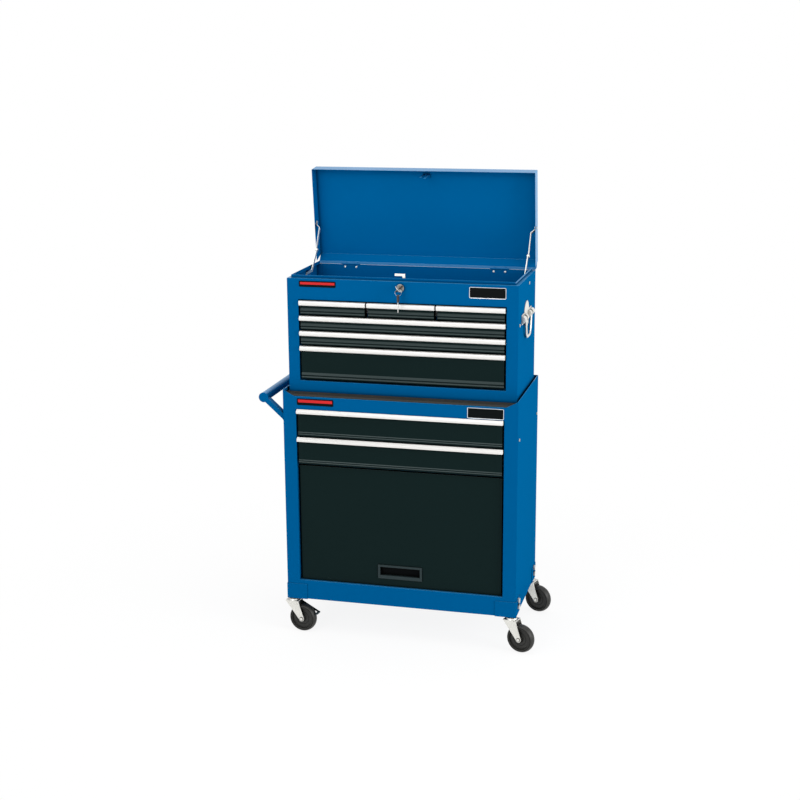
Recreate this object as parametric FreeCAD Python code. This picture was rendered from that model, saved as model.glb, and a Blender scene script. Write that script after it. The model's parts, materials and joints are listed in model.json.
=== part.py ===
import FreeCAD, Part
import math
import os

# A rolling tool cabinet: a two-drawer base on casters with a six-drawer chest and an open lid on top.
# Millimetres. +Z is up, the drawer fronts face -Y, +X is to the right as one faces them, and the
# origin is on the floor under the middle of the base.

V = FreeCAD.Vector
X = V(1, 0, 0)
Y = V(0, 1, 0)
Z = V(0, 0, 1)

# Sheet steel and shared clearances
sheet = 0.8
running_gap = 0.06
loose_gap = 0.3
weld_flange = 15.0

# Base cabinet
base_w = 616.0
base_d = 310.0
base_bottom = 95.0
tray_z = 650.5
rim_h = 15.5
base_stile = 34.5
base_top_band = 34.0
base_bottom_rail = 52.0
base_return = 27.0
rim_slope_run = 30.5
base_hem = 8.0
shelf_front_gap = 13.0

# Rubber mat on the tray
mat_t = 5.0
mat_edge_gap = 1.5

# Corner brackets
bracket_t = 1.2
bracket_front_leg = 54.5
bracket_side_leg = 60.0
bracket_h = 42.0

# Bracket bolts, M8
bolt_r = 4.0
bolt_hole_gap = 0.2
bolt_flats = 13.0
bolt_head_h = 4.5
bolt_nut_h = 6.0
bolt_y_inset = 31.0
bolt_z_low = 19.0
bolt_z_high = 36.0

# Pan-head screws in the case sides
screw_head_r = 4.0
screw_head_h = 2.0
screw_r = 2.0
screw_len = 8.0
base_screw_up = 10.0
chest_screw_y_inset = 17.0
chest_screw_z = 850.0

# Casters
caster_inset_x = 12.0
caster_inset_y = 12.0
wheel_d = 75.0
wheel_w = 22.0
wheel_edge_drop = 4.0
wheel_hub_w = 25.4
wheel_hub_r = 8.0
wheel_web_w = 12.0
wheel_web_r = 27.0
wheel_slope = 1.8
axle_r = 4.0
axle_end_h = 1.5
caster_trail = 27.0
stem_r = 5.0
stem_nut_flats = 17.0
stem_nut_h = 8.0
stem_end = 2.5
race_r = 9.5
race_t = 2.5
swivel_gap = 0.8
swivel_ring_r = 13.0
swivel_ring_flare = 1.5
fork_half_w = 15.0
fork_leg_t = 2.0
fork_plate_t = 2.5
fork_top_drop = 4.3
fork_back = 18.0
fork_toe_r = 7.0
fork_front_deg = 22.0
fork_rear_deg = 198.0
stem_head_r = 8.0
stem_head_t = 2.5
headings = {"front_left": -5.6, "front_right": -16.8, "rear_left": -8.0, "rear_right": -19.4}

# Brake levers of the two left casters
brake_pin_r = 2.0
brake_pin_u = 14.0
brake_pin_drop = 5.0
brake_pin_end_h = 1.0
brake_hub_r = 4.5
brake_side_gap = 0.4
brake_arm_t = 1.0
brake_arm_half_h = 2.5
brake_tab_deg = 21.0
brake_tab_gap = 1.5
brake_tab_out = 8.0
brake_tab_t = 3.5
brake_tab_reach = 6.0

# Push handle on the left side
handle_tube_r = 12.25
handle_tube_wall = 1.5
handle_out = 56.0
handle_drop = 10.5
handle_end_inset = 8.0
handle_cap_t = 2.0
handle_cap_lip = 0.8
strut_w = 20.0
strut_bar = 12.5
strut_foot_drop = 49.0
strut_foot_t = 2.0
strut_plate_up = 14.0
strut_plate_down = 37.0

# Door of the base and its pull
door_side_gap = 5.0
door_bottom_gap = 1.5
door_recess = 8.0
door_depth = 18.0
door_lip = 14.0
door_pin_r = 1.5
door_pin_behind = 0.1
door_pin_below = 1.2
door_stop = 10.0
shelf_to_door = 2.4
pull_w = 118.0
pull_h = 37.5
pull_above_edge = 20.0
pull_rim = 4.0
pull_ledge = 9.0
pull_proud = 3.0
pull_dish = 9.0
pull_wall = 1.2

# Chest
chest_room = 8.0
chest_d = 255.0
chest_setback = 32.0
chest_h = 297.0
chest_stile = 29.5
chest_top_band = 54.2
chest_bottom_rail = 29.8
chest_return = 22.0
shoulder = 9.0
lip_h = 7.5

# Drawer fronts and their pull rails
front_side_gap = 5.0
front_recess = 1.0
front_return = 8.0
row_gap = 3.5
# Pressed ridges: top edge above the front's bottom, height of the ridge, how far it stands out
chest_ridges = ((17.0, 9.0, 2.2), (7.0, 5.0, 1.6))
base_ridges = ((11.5, 3.5, 1.2), (6.5, 3.5, 1.2))
ridge_crest = (0.75, 0.88)
chest_front_h = 36.0
chest_top_gap = 3.1
chest_bottom_gap = 5.2
base_front_h = 71.5
base_top_gap = 0.5
small_gap = 4.4
divider_setback = 12.0
rail_side_gap = 2.5
# Sections of the pull rails, as (out from the front, down from its top)
pull_profiles = {
    "chest": ((0, 0), (5.1, 0), (7.5, 1.2), (8.5, 3.5), (8.5, 9.4), (7.2, 11.6), (5.1, 12.5), (5.1, 11.3),
              (7.3, 9.0), (7.3, 4.0), (5.1, 1.2), (1.2, 1.2), (1.2, 12.5), (0, 12.5)),
    "base": ((0, 0), (2.1, 0), (8.5, 5.2), (8.5, 10.5), (7.3, 10.5), (7.3, 5.9), (2.1, 1.2), (1.2, 1.2),
             (1.2, 10.5), (0, 10.5)),
}

# Drawer boxes and their slides
box_under = 3.0
box_over = 7.0
slide_w = 9.0
slide_h = 16.0
slide_t = 1.0
slide_start = 10.0
box_rear_gap = 6.0

# Lid, its hinges and its catch
lid_h = 38.6
lid_overhang = 2.0
lid_gap = 0.5
lid_open_deg = 83.3
lid_round = 1.6
hinge_out = 0.0
hinge_rise = 0.2
knuckle_r = 2.2
hinge_pin_r = 1.1
leaf_t = 1.0
leaf_w = 50.0
leaf_x = 204.0
leaf_drop = 16.0
leaf_rise = 18.0
knuckle_mid = 20.0
rivet_r = 2.8
rivet_h = 1.4
rivet_shank_r = 1.6
rivet_from_middle = 15.5
rivet_below = 7.5
rivet_above = 13.5
lid_bend = 22.0
lid_bevel = 17.5
lid_side_cut = 6.5
lid_side_slope = 15.0

# Folding lid stays
stay_t = 1.5
stay_w = 9.0
stay_plane = 13.2
stay_wall_gap = 0.2
stay_joggle_start = 6.0
stay_joggle_run = 10.0
stay_joggle_lag = 0.6
stay_rivet_r = 2.5
stay_head_r = 4.0
stay_head_t = 1.5
body_pivot_ahead = 100.5
body_pivot_drop = 17.5
elbow_ahead = 40.5
elbow_rise = 42.5
lid_pivot_along = 109.6
lid_pivot_up = 14.0

# Lock, cam, catch and keys
lock_drop = 15.5
lock_head_r = 10.0
lock_proud = 5.0
lock_gap = 0.1
lock_body_r = 8.0
cam_t = 1.5
cam_behind_lip = 2.0
cam_hub_r = 9.0
cam_rise = 34.0
cam_leg_x = 2.0
cam_leg_w = 7.0
cam_bar_h = 6.0
cam_bar_left = 18.0
catch_left = -4.0
catch_right = 15.0
catch_prong_w = 5.0
catch_t = 1.5
catch_foot = 9.0
catch_cam_gap = 0.5
catch_web_h = 10.0
key_t = 1.6
key_bow_r = 11.5
key_bow_gap = 0.5
key_neck_w = 8.0
key_slot_depth = 8.0
key_hole_r = 2.2
key_hole_back = 3.5
key_turn = 45.0
ring_r = 8.2
ring_wire = 0.6
spare_bow_r = 9.0
spare_bow_t = 2.0
spare_hole_r = 1.5
spare_hole_back = 1.6
spare_blade_l = 27.0
spare_blade_w = 5.0

# Drop handles on the chest's sides
drop_y = 148.0
drop_z = 858.0
drop_plate_w = 142.0
drop_plate_h = 26.0
drop_plate_t = 1.5
drop_disc_r = 35.0
drop_disc_up = 3.0
drop_housing_r = 9.0
drop_housing_out = 9.5
drop_housing_l = 50.0
drop_housing_y = 46.0
bail_r = 3.0
bail_out = 6.1
bail_leg_y = 42.0
bail_slot_in = 8.0
bail_slot_out = 6.5
bail_end_gap = 0.5
housing_floor = 0.4
bail_end_y = 62.0
bail_hang = 52.0
bail_foot_y = 26.0
bail_bend = 6.0
bail_foot_bend = 18.0


def block(x0, x1, y0, y1, z0, z1):
    return Part.makeBox(x1 - x0, y1 - y0, z1 - z0, V(x0, y0, z0))


def prism_x(points, x0, x1):
    """Extrudes an outline of (y, z) points from x0 to x1."""
    corners = [V(x0, y, z) for y, z in points]
    return Part.Face(Part.makePolygon(corners + corners[:1])).extrude(V(x1 - x0, 0, 0))


def prism_y(points, y0, y1):
    """Extrudes an outline of (x, z) points from y0 to y1."""
    corners = [V(x, y0, z) for x, z in points]
    return Part.Face(Part.makePolygon(corners + corners[:1])).extrude(V(0, y1 - y0, 0))


def rod_x(r, x0, x1, y, z):
    return Part.makeCylinder(r, x1 - x0, V(x0, y, z), X)


def rod_y(r, y0, y1, x, z):
    return Part.makeCylinder(r, y1 - y0, V(x, y0, z), Y)


def rod_z(r, z0, z1, x, y):
    return Part.makeCylinder(r, z1 - z0, V(x, y, z0), Z)


def hexagon(flats, height, base, axis):
    """A hexagonal bolt head or nut, standing on base along axis."""
    side = V(0, 0, 1) if abs(axis.z) < 0.5 else V(1, 0, 0)
    turn = [FreeCAD.Rotation(axis, 60 * i) for i in range(6)]
    corners = [base + r.multVec(side) * (flats / math.sqrt(3)) for r in turn]
    return Part.Face(Part.makePolygon(corners + corners[:1])).extrude(axis * height)


def fuse(shapes):
    return shapes[0].multiFuse(shapes[1:]).removeSplitter()


def turned(shape, centre, axis, degrees):
    copy = shape.copy()
    copy.rotate(centre, axis, degrees)
    return copy


def mirrored(shape):
    return shape.mirror(V(0, 0, 0), X)


def both_sides(shape):
    return [shape, mirrored(shape)]


def tube_path(points, radii):
    """Straight runs through the points, joined by tangent arcs of the given radii."""
    edges = []
    start = points[0]
    for before, corner, after, radius in zip(points, points[1:], points[2:], radii):
        d_in = (corner - before).normalize()
        d_out = (after - corner).normalize()
        half = d_in.getAngle(d_out) / 2
        trim = radius * math.tan(half)
        p_in = corner - d_in * trim
        p_out = corner + d_out * trim
        inward = (d_out - d_in).normalize()
        middle = corner + inward * (radius / math.cos(half) - radius)
        edges.append(Part.makeLine(start, p_in))
        edges.append(Part.Arc(p_in, middle, p_out).toShape())
        start = p_out
    edges.append(Part.makeLine(start, points[-1]))
    return Part.Wire(edges)


def wire_rod(points, radii, r):
    path = tube_path(points, radii)
    direction = (points[1] - points[0]).normalize()
    section = Part.Wire([Part.makeCircle(r, points[0], direction)])
    return path.makePipeShell([section], True, False)


def save(name, shapes):
    """Writes one node: a single shape, or a list of separate solids."""
    shape = Part.makeCompound(shapes) if isinstance(shapes, list) else shapes
    shape.exportStep("parts/" + name + ".step")


# Places worked out from the sizes
base_x = base_w / 2
base_front = -base_d / 2
base_back = base_d / 2
rim_z = tray_z + rim_h
handle_z = tray_z - handle_drop
strut_foot_z = handle_z - strut_foot_drop
strut_plate_top = strut_foot_z + strut_plate_up
strut_plate_bottom = strut_foot_z - strut_plate_down
base_screw_z = strut_plate_bottom + base_screw_up
base_open_x = base_x - base_stile
base_open_bottom = base_bottom + base_bottom_rail
base_open_top = tray_z - base_top_band
front_tops_base = [base_open_top - base_top_gap - i * (base_front_h + row_gap) for i in range(2)]
shelf_top = front_tops_base[1] - base_front_h - row_gap + loose_gap
door_top = shelf_top - sheet - shelf_to_door
door_x = base_open_x - door_side_gap
door_bottom = base_open_bottom + door_bottom_gap
door_face = base_front + door_recess
door_back = door_face + door_depth

chest_x = base_x - chest_room
chest_front = base_front + chest_setback
chest_back = chest_front + chest_d
chest_bottom = tray_z + mat_t
chest_top = chest_bottom + chest_h
lip_top = chest_top + lip_h
chest_open_x = chest_x - chest_stile
chest_open_bottom = chest_bottom + chest_bottom_rail
chest_open_top = chest_top - chest_top_band
front_tops_chest = [chest_open_top - chest_top_gap - i * (chest_front_h + row_gap) for i in range(4)]
small_w = (2 * (chest_open_x - rail_side_gap) - 2 * small_gap) / 3
divider_x = small_w / 2 + small_gap / 2
till_floor_z = chest_open_top + sheet

hinge_y = chest_back + hinge_out
hinge_z = chest_top + hinge_rise
lid_bottom = chest_top + lid_gap
lid_top = lid_bottom + lid_h
lid_front = chest_front - lid_overhang
hinge = V(0, hinge_y, hinge_z)

stem_x = base_x - caster_inset_x
stem_y = base_d / 2 - caster_inset_y
bracket_bottom = base_bottom - bracket_t
race_bottom = bracket_bottom - race_t
ring_top = race_bottom - swivel_gap
fork_top = ring_top - fork_top_drop
fork_plate_bottom = fork_top - fork_plate_t
axle_z = wheel_d / 2
stem_head_top = fork_plate_bottom - loose_gap
casters = {
    "front_left": (-stem_x, -stem_y),
    "front_right": (stem_x, -stem_y),
    "rear_left": (-stem_x, stem_y),
    "rear_right": (stem_x, stem_y),
}


def stem_holes(z0, z1):
    hole_r = stem_r + loose_gap
    return [rod_z(hole_r, z0, z1, x, y) for x, y in casters.values()]


def opening_return(half, z0, z1, front, depth):
    """The folded edge round a case opening, just outside it."""
    outer = block(-half - sheet, half + sheet, front, front + depth, z0 - sheet, z1 + sheet)
    return outer.cut(block(-half, half, front - 1, front + depth + 1, z0, z1))


def base_front_frame():
    slope_x = base_x - rim_slope_run
    outline = [(-base_x, base_bottom), (base_x, base_bottom), (base_x, rim_z), (slope_x, tray_z),
               (-slope_x, tray_z), (-base_x, rim_z)]
    face = prism_y(outline, base_front, base_front + sheet)
    hole = block(-base_open_x, base_open_x, base_front - 1, base_front + 2, base_open_bottom, base_open_top)
    ring = opening_return(base_open_x, base_open_bottom, base_open_top, base_front, base_return)
    stop_y = base_front + base_return
    stop_top = door_top - door_stop
    stop = block(-base_open_x, base_open_x, stop_y - sheet, stop_y, base_open_bottom, stop_top)
    stop = stop.cut(block(-base_open_x + door_stop, base_open_x - door_stop, stop_y - 2, stop_y + 1,
                          base_open_bottom + door_stop, stop_top + 1))
    frame = fuse([face.cut(hole), ring, stop])
    pin_y, pin_z = door_axis()
    return frame.cut(rod_x(door_pin_r + running_gap, -base_x + 1, base_x - 1, pin_y, pin_z))


def bolt_places():
    """The bracket bolts of one side, as (y, z)."""
    return [(y * (base_d / 2 - bolt_y_inset), bracket_bottom + z)
            for y in (-1, 1) for z in (bolt_z_low, bolt_z_high)]


def base_side():
    """The right side of the base, with its welding flanges turned in."""
    inner = base_x - sheet
    y0 = base_front + sheet
    y1 = base_back - sheet
    wall = block(inner, base_x, y0, y1, base_bottom, rim_z)
    floor_flange = block(inner - weld_flange, inner, y0, y1, base_bottom, base_bottom + sheet)
    front_flange = block(inner - weld_flange, inner, y0, y0 + sheet, base_bottom, tray_z - sheet)
    rear_flange = block(inner - weld_flange, inner, y1 - sheet, y1, base_bottom, tray_z - sheet)
    hem = block(inner - sheet, inner, y0, y1, rim_z - base_hem, rim_z)
    side = fuse([wall, floor_flange, front_flange, rear_flange, hem])
    holes = [rod_x(bolt_r + bolt_hole_gap, inner - 1, base_x + 1, y, z) for y, z in bolt_places()]
    holes += [rod_x(screw_r, inner - 1, base_x + 1, y, base_screw_z) for y in screw_ys_base()]
    return side.cut(holes + stem_holes(base_bottom - 1, base_bottom + 2))


def screw_ys_base():
    """The side screws go through the middle of the push handle's feet."""
    y = base_d / 2 - handle_end_inset - strut_w / 2
    return [-y, y]


def base_floor():
    inner = base_x - sheet
    z0 = base_bottom + sheet
    plate = block(-inner, inner, base_front + 2 * sheet, base_back - 2 * sheet, z0, z0 + sheet)
    return plate.cut(stem_holes(z0 - 1, z0 + 2))


def mid_shelf():
    inner = base_x - sheet
    z0 = shelf_top - sheet
    rear = base_back - 2 * sheet
    middle = block(-base_open_x, base_open_x, base_front + shelf_front_gap, rear, z0, shelf_top)
    wide = block(-inner, inner, base_front + base_return, rear, z0, shelf_top)
    return fuse([middle, wide])


def corner_bracket():
    """The front right bracket: a floor plate with a leg on the front and one on the side."""
    x0, x1 = base_x - bracket_front_leg, base_x + bracket_t
    y0, y1 = base_front - bracket_t, base_front + bracket_side_leg
    top = bracket_bottom + bracket_h
    floor = block(x0, x1, y0, y1, bracket_bottom, base_bottom)
    side = block(base_x, x1, y0, y1, bracket_bottom, top)
    front = block(x0, x1, y0, base_front, bracket_bottom, top)
    return fuse([floor, side, front])


def corner_brackets():
    front = corner_bracket()
    # The rear ones leave the flat back free, so they have no rear leg.
    clear = block(0, base_x + 2 * bracket_t, base_back, base_back + 3 * bracket_t, 0, tray_z)
    rear = front.mirror(V(0, 0, 0), Y).cut(clear)
    holes = [rod_x(bolt_r + bolt_hole_gap, base_x - 1, base_x + 3, y, z) for y, z in bolt_places()]
    pair = [shape.cut(holes + stem_holes(bracket_bottom - 1, base_bottom + 1)) for shape in (front, rear)]
    return [piece for shape in pair for piece in both_sides(shape)]


def caster_stem(x, y):
    floor_top = base_bottom + 2 * sheet
    stem = rod_z(stem_r, stem_head_top - stem_head_t, floor_top + stem_nut_h + stem_end, x, y)
    head = rod_z(stem_head_r, stem_head_top - stem_head_t, stem_head_top, x, y)
    race = rod_z(race_r, race_bottom, bracket_bottom, x, y)
    nut = hexagon(stem_nut_flats, stem_nut_h, V(x, y, floor_top), Z)
    return fuse([stem, head, race, nut])


def place_caster(shape, corner):
    """Turns a piece built along +X at the origin to its corner's heading and moves it there."""
    x, y = casters[corner]
    copy = turned(shape, V(0, 0, 0), Z, headings[corner])
    copy.translate(V(x, y, 0))
    return copy


def polar(r, degrees):
    """A point round the axle, as (along the fork, height)."""
    a = math.radians(degrees)
    return caster_trail + r * math.cos(a), axle_z + r * math.sin(a)


def fork(braked):
    leg_outline = [(-fork_back, fork_top), (fork_back, fork_top),
                   polar(fork_toe_r, fork_front_deg), polar(fork_toe_r, fork_rear_deg)]
    inner = fork_half_w - fork_leg_t
    legs = []
    for y0 in (-fork_half_w, inner):
        legs.append(prism_y(leg_outline, y0, y0 + fork_leg_t))
        legs.append(rod_y(fork_toe_r, y0, y0 + fork_leg_t, caster_trail, axle_z))
    plate = block(-fork_back, fork_back, -fork_half_w, fork_half_w, fork_plate_bottom, fork_top)
    ring = Part.makeCone(swivel_ring_r + swivel_ring_flare, swivel_ring_r, ring_top - fork_top,
                         V(0, 0, fork_top), Z)
    end_y = fork_half_w + axle_end_h
    axle = rod_y(axle_r, -end_y, end_y, caster_trail, axle_z)
    pieces = legs + [plate, ring, axle]
    if braked:
        pin_z = fork_plate_bottom - brake_pin_drop
        end_y = fork_half_w + brake_pin_end_h
        pieces.append(rod_y(brake_pin_r, -end_y, end_y, brake_pin_u, pin_z))
    return fuse(pieces).cut(rod_z(stem_r + running_gap, fork_plate_bottom - 1, ring_top + 1, 0, 0))


def wheel():
    """A domed wheel with a recessed web, turned about its axle."""
    r = wheel_d / 2
    edge = r - wheel_edge_drop
    half = wheel_w / 2
    hub = wheel_hub_w / 2
    web = wheel_web_w / 2
    rim_in = wheel_web_r + wheel_slope
    bore = axle_r + running_gap
    side = [(bore, hub), (wheel_hub_r, hub), (wheel_hub_r + wheel_slope, web), (wheel_web_r, web),
            (rim_in, half), (edge, half)]
    points = [V(a, -b, 0) for a, b in side]
    back = [V(a, b, 0) for a, b in reversed(side)]
    edges = [Part.makeLine(a, b) for a, b in zip(points, points[1:])]
    edges.append(Part.Arc(points[-1], V(r, 0, 0), back[0]).toShape())
    edges += [Part.makeLine(a, b) for a, b in zip(back, back[1:])]
    edges.append(Part.makeLine(back[-1], points[0]))
    solid = Part.Face(Part.Wire(edges)).revolve(V(0, 0, 0), Y, 360)
    solid.translate(V(caster_trail, 0, axle_z))
    return solid


def brake_lever():
    """Three pieces welded together: a hub tube on the pin, a flat arm past the wheel, and a toe tab."""
    outer = fork_half_w - fork_leg_t - brake_side_gap
    inner = outer - brake_arm_t
    pin_z = fork_plate_bottom - brake_pin_drop
    hub = rod_y(brake_hub_r, -outer, inner, brake_pin_u, pin_z)
    tab_in = wheel_d / 2 + brake_tab_gap
    tip_u, tip_z = polar(tab_in + brake_tab_out / 2, brake_tab_deg)
    run, drop = tip_u - brake_pin_u, pin_z - tip_z
    nu, nz = drop / math.hypot(run, drop), run / math.hypot(run, drop)
    u, wide, narrow = brake_pin_u, brake_hub_r, brake_arm_half_h
    taper = prism_y([(u - wide * nu, pin_z - wide * nz), (u + wide * nu, pin_z + wide * nz),
                     (tip_u + narrow * nu, tip_z + narrow * nz), (tip_u - narrow * nu, tip_z - narrow * nz)],
                    inner, outer)
    arm = fuse([taper, rod_y(brake_hub_r, inner, outer, brake_pin_u, pin_z)])
    tab = block(tab_in, tab_in + brake_tab_out, -brake_tab_reach, inner, -brake_tab_t / 2, brake_tab_t / 2)
    tab.rotate(V(0, 0, 0), Y, -brake_tab_deg)
    tab.translate(V(caster_trail, 0, axle_z))
    bore = rod_y(brake_pin_r + running_gap, -outer - 1, outer + 1, brake_pin_u, pin_z)
    return [hub.cut(bore), arm.cut(bore), tab]


def push_handle():
    """A tube along the left side on two welded struts, with a cap at each end."""
    x = -base_x - handle_out
    y1 = base_d / 2 - handle_end_inset
    tube_y = y1 - handle_cap_t
    tube = rod_y(handle_tube_r, -tube_y, tube_y, x, handle_z)
    tube = tube.cut(rod_y(handle_tube_r - handle_tube_wall, -tube_y - 1, tube_y + 1, x, handle_z))
    foot_x = -base_x - strut_foot_t
    rise = handle_z - strut_foot_z
    run = foot_x - x
    length = math.hypot(rise, run)
    nx, nz = rise / length * strut_bar / 2, run / length * strut_bar / 2
    bar = [(x + nx, handle_z + nz), (x - nx, handle_z - nz), (foot_x - nx, strut_foot_z - nz),
           (-base_x, strut_foot_z - strut_bar), (-base_x, strut_foot_z + strut_bar / 2),
           (foot_x + nx, strut_foot_z + nz)]
    left = block(-base_x, 0, -base_d, base_d, 0, rim_z)
    pieces = [tube]
    for end in (-1, 1):
        ya, yb = sorted((end * y1, end * (y1 - strut_w)))
        strut = prism_y(bar, ya, yb).cut(rod_y(handle_tube_r, ya - 1, yb + 1, x, handle_z))
        plate = block(foot_x, -base_x, ya, yb, strut_plate_bottom, strut_plate_top)
        plate = plate.cut(rod_x(screw_r, foot_x - 1, -base_x + 1, (ya + yb) / 2, base_screw_z))
        ca, cb = sorted((end * y1, end * tube_y))
        cap = rod_y(handle_tube_r + handle_cap_lip, ca, cb, x, handle_z)
        pieces.append(fuse([strut.cut(left), plate, cap]))
    return pieces


def door_axis():
    """The door turns on two pins just behind its face, near its top edge."""
    y = door_face + sheet + door_pin_r + door_pin_behind
    return y, door_top - sheet - door_pin_r - door_pin_below


def door():
    pan = block(-door_x, door_x, door_face, door_back, door_bottom, door_top)
    pan = pan.cut(block(-door_x + sheet, door_x - sheet, door_face + sheet, door_back - sheet,
                        door_bottom + sheet, door_top - sheet))
    edge = sheet + door_lip
    pan = pan.cut(block(-door_x + edge, door_x - edge, door_back - 2 * sheet, door_back + 1,
                        door_bottom + edge, door_top - edge))
    x0, x1, z0, z1 = pull_box()
    inset = pull_rim
    hole = block(x0 + inset, x1 - inset, door_face - 1, door_face + sheet + 1, z0 + inset, z1 - inset)
    pin_y, pin_z = door_axis()
    pins = [rod_x(door_pin_r, -base_open_x - 2 * sheet, -door_x + 2, pin_y, pin_z)]
    pins += [mirrored(pins[0])]
    return fuse([pan.cut(hole)] + pins)


def pull_box():
    z0 = door_bottom + pull_above_edge
    return -pull_w / 2, pull_w / 2, z0, z0 + pull_h


def door_pull():
    """A dished plastic pull let into the door: a rim on the face, a dish behind it."""
    x0, x1, z0, z1 = pull_box()
    rim = block(x0, x1, door_face - pull_proud, door_face, z0, z1)
    gap = loose_gap
    i = pull_rim + gap
    body = block(x0 + i, x1 - i, door_face, door_face + pull_dish, z0 + i, z1 - i)
    w = i + pull_wall
    dish = block(x0 + w, x1 - w, door_face - pull_proud - 1, door_face + pull_dish - pull_wall,
                 z0 + pull_ledge, z1 - w)
    return fuse([rim, body]).cut(dish)


def chest_front_frame():
    face = block(-chest_x, chest_x, chest_front, chest_front + sheet, chest_bottom, chest_top)
    hole = block(-chest_open_x, chest_open_x, chest_front - 1, chest_front + 2, chest_open_bottom,
                 chest_open_top)
    ring = opening_return(chest_open_x, chest_open_bottom, chest_open_top, chest_front, chest_return)
    inner = chest_x - sheet
    lip_y = chest_front + shoulder
    shelf = block(-inner, inner, chest_front, lip_y + sheet, chest_top - sheet, chest_top)
    lip_x = chest_x - shoulder
    shelf = shelf.cut(block(-chest_x, -lip_x, lip_y, lip_y + 2, 0, chest_top + 1))
    shelf = shelf.cut(block(lip_x, chest_x, lip_y, lip_y + 2, 0, chest_top + 1))
    lip = block(-lip_x, lip_x, lip_y, lip_y + sheet, chest_top - sheet, lip_top)
    frame = fuse([face.cut(hole), ring, shelf, lip])
    lock_z = chest_top - lock_drop
    return frame.cut(rod_y(lock_body_r + running_gap, chest_front - 1, chest_front + 2, 0, lock_z))


def chest_side():
    """The right side of the chest, with its flanges, shoulder and inner lip."""
    inner = chest_x - sheet
    y0 = chest_front + sheet
    y1 = chest_back - sheet
    wall = block(inner, chest_x, y0, y1, chest_bottom, chest_top)
    front_flange = block(inner - weld_flange, inner, y0, y0 + sheet, chest_bottom + sheet, chest_top - sheet)
    rear_flange = block(inner - weld_flange, inner, y1 - sheet, y1, chest_bottom + sheet, chest_top - sheet)
    lip_x = chest_x - shoulder
    lip_y = chest_front + shoulder
    shelf = block(lip_x - sheet, chest_x, lip_y + sheet, y1, chest_top - sheet, chest_top)
    corner = block(lip_x, chest_x, lip_y, lip_y + sheet, chest_top - sheet, chest_top)
    lip = block(lip_x - sheet, lip_x, lip_y + sheet, y1 - sheet, chest_top - sheet, lip_top)
    side = fuse([wall, front_flange, rear_flange, shelf, corner, lip])
    pivot_y, pivot_z = body_pivot
    holes = [rod_x(stay_rivet_r + running_gap, inner - 1, chest_x + 1, pivot_y, pivot_z),
             rod_x(screw_r, inner - 1, chest_x + 1, chest_front + chest_screw_y_inset, chest_screw_z)]
    return side.cut(holes)


def chest_back_panel():
    """The back, notched along its top edge for the hinge knuckles and drilled for their rivets."""
    panel = block(-chest_x, chest_x, chest_back - sheet, chest_back, chest_bottom, chest_top)
    cuts = [hinge_notch(hinge_z - knuckle_r - loose_gap, chest_top + 1)] + rivet_holes(hinge_z - rivet_below)
    return panel.cut(cuts + [mirrored(cut) for cut in cuts])


def rivet_holes(z):
    """The holes for the right hinge's two rivets in a rear wall, at height z."""
    return [rod_y(rivet_shank_r, chest_back - sheet - 1, chest_back + 1, leaf_x + side * rivet_from_middle, z)
            for side in (-1, 1)]


def hinge_notch(z0, z1):
    """The room round the right hinge's knuckles in a rear wall."""
    half = leaf_w / 2 + loose_gap
    return block(leaf_x - half, leaf_x + half, chest_back - sheet - 1, chest_back + 1, z0, z1)


def chest_floor():
    inner = chest_x - sheet
    return block(-inner, inner, chest_front + sheet, chest_back - sheet, chest_bottom, chest_bottom + sheet)


def inner_frame():
    """The floor of the top till, and two dividers that hang from it between the small drawers."""
    inner = chest_x - sheet
    y0 = chest_front + 2 * sheet
    y1 = chest_back - 2 * sheet
    pieces = [block(-inner, inner, y0, y1, till_floor_z, till_floor_z + sheet)]
    low = front_tops_chest[1] + row_gap / 2
    return_y = chest_front + chest_return
    for side in (-1, 1):
        xa = side * divider_x - sheet / 2
        pieces.append(block(xa, xa + sheet, chest_front + divider_setback, y1, low, chest_open_top))
        pieces.append(block(xa, xa + sheet, return_y, y1, chest_open_top, till_floor_z))
    return fuse(pieces)


def slide_mounts(unit, column):
    """The two upright faces that a drawer's fixed rails are fastened to, left and right."""
    if unit == "base":
        return -base_open_x, base_open_x
    if column is None:
        return -chest_open_x, chest_open_x
    faces = [(-chest_open_x, -divider_x - sheet / 2), (-divider_x + sheet / 2, divider_x - sheet / 2),
             (divider_x + sheet / 2, chest_open_x)]
    return faces[column]


def drawer_list():
    """Every drawer: name, unit, column, front's left and right edge, bottom and top."""
    rows = []
    edge = chest_open_x - rail_side_gap
    for column, word in enumerate(("left", "middle", "right")):
        x0 = -edge + column * (small_w + small_gap)
        top = front_tops_chest[0]
        rows.append(("small_drawer_" + word, "chest", column, x0, x0 + small_w, top - chest_front_h, top))
    for i, word in enumerate(("upper", "lower")):
        top = front_tops_chest[1 + i]
        rows.append(("shallow_drawer_" + word, "chest", None, -edge, edge, top - chest_front_h, top))
    deep_bottom = chest_open_bottom + chest_bottom_gap
    rows.append(("deep_drawer", "chest", None, -edge, edge, deep_bottom, front_tops_chest[3]))
    edge = base_open_x - rail_side_gap
    for i, word in enumerate(("upper", "lower")):
        top = front_tops_base[i]
        rows.append(("base_drawer_" + word, "base", None, -edge, edge, top - base_front_h, top))
    return rows


def case_front(unit):
    return base_front if unit == "base" else chest_front


def case_back(unit):
    return base_back - sheet if unit == "base" else chest_back - sheet


def slide_z(z0, z1):
    """The middle height of a drawer's slides."""
    return (z0 + box_under + z1 - box_over) / 2


def channel(x_web, inward, y0, y1, zc, width, height):
    """A C channel along Y: its web at x_web, its flanges pointing inward."""
    xa, xb = sorted((x_web, x_web + inward * width))
    outer = block(xa, xb, y0, y1, zc - height / 2, zc + height / 2)
    xc, xd = sorted((x_web + inward * slide_t, x_web + inward * (width + 1)))
    return outer.cut(block(xc, xd, y0 - 1, y1 + 1, zc - height / 2 + slide_t, zc + height / 2 - slide_t))


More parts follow.
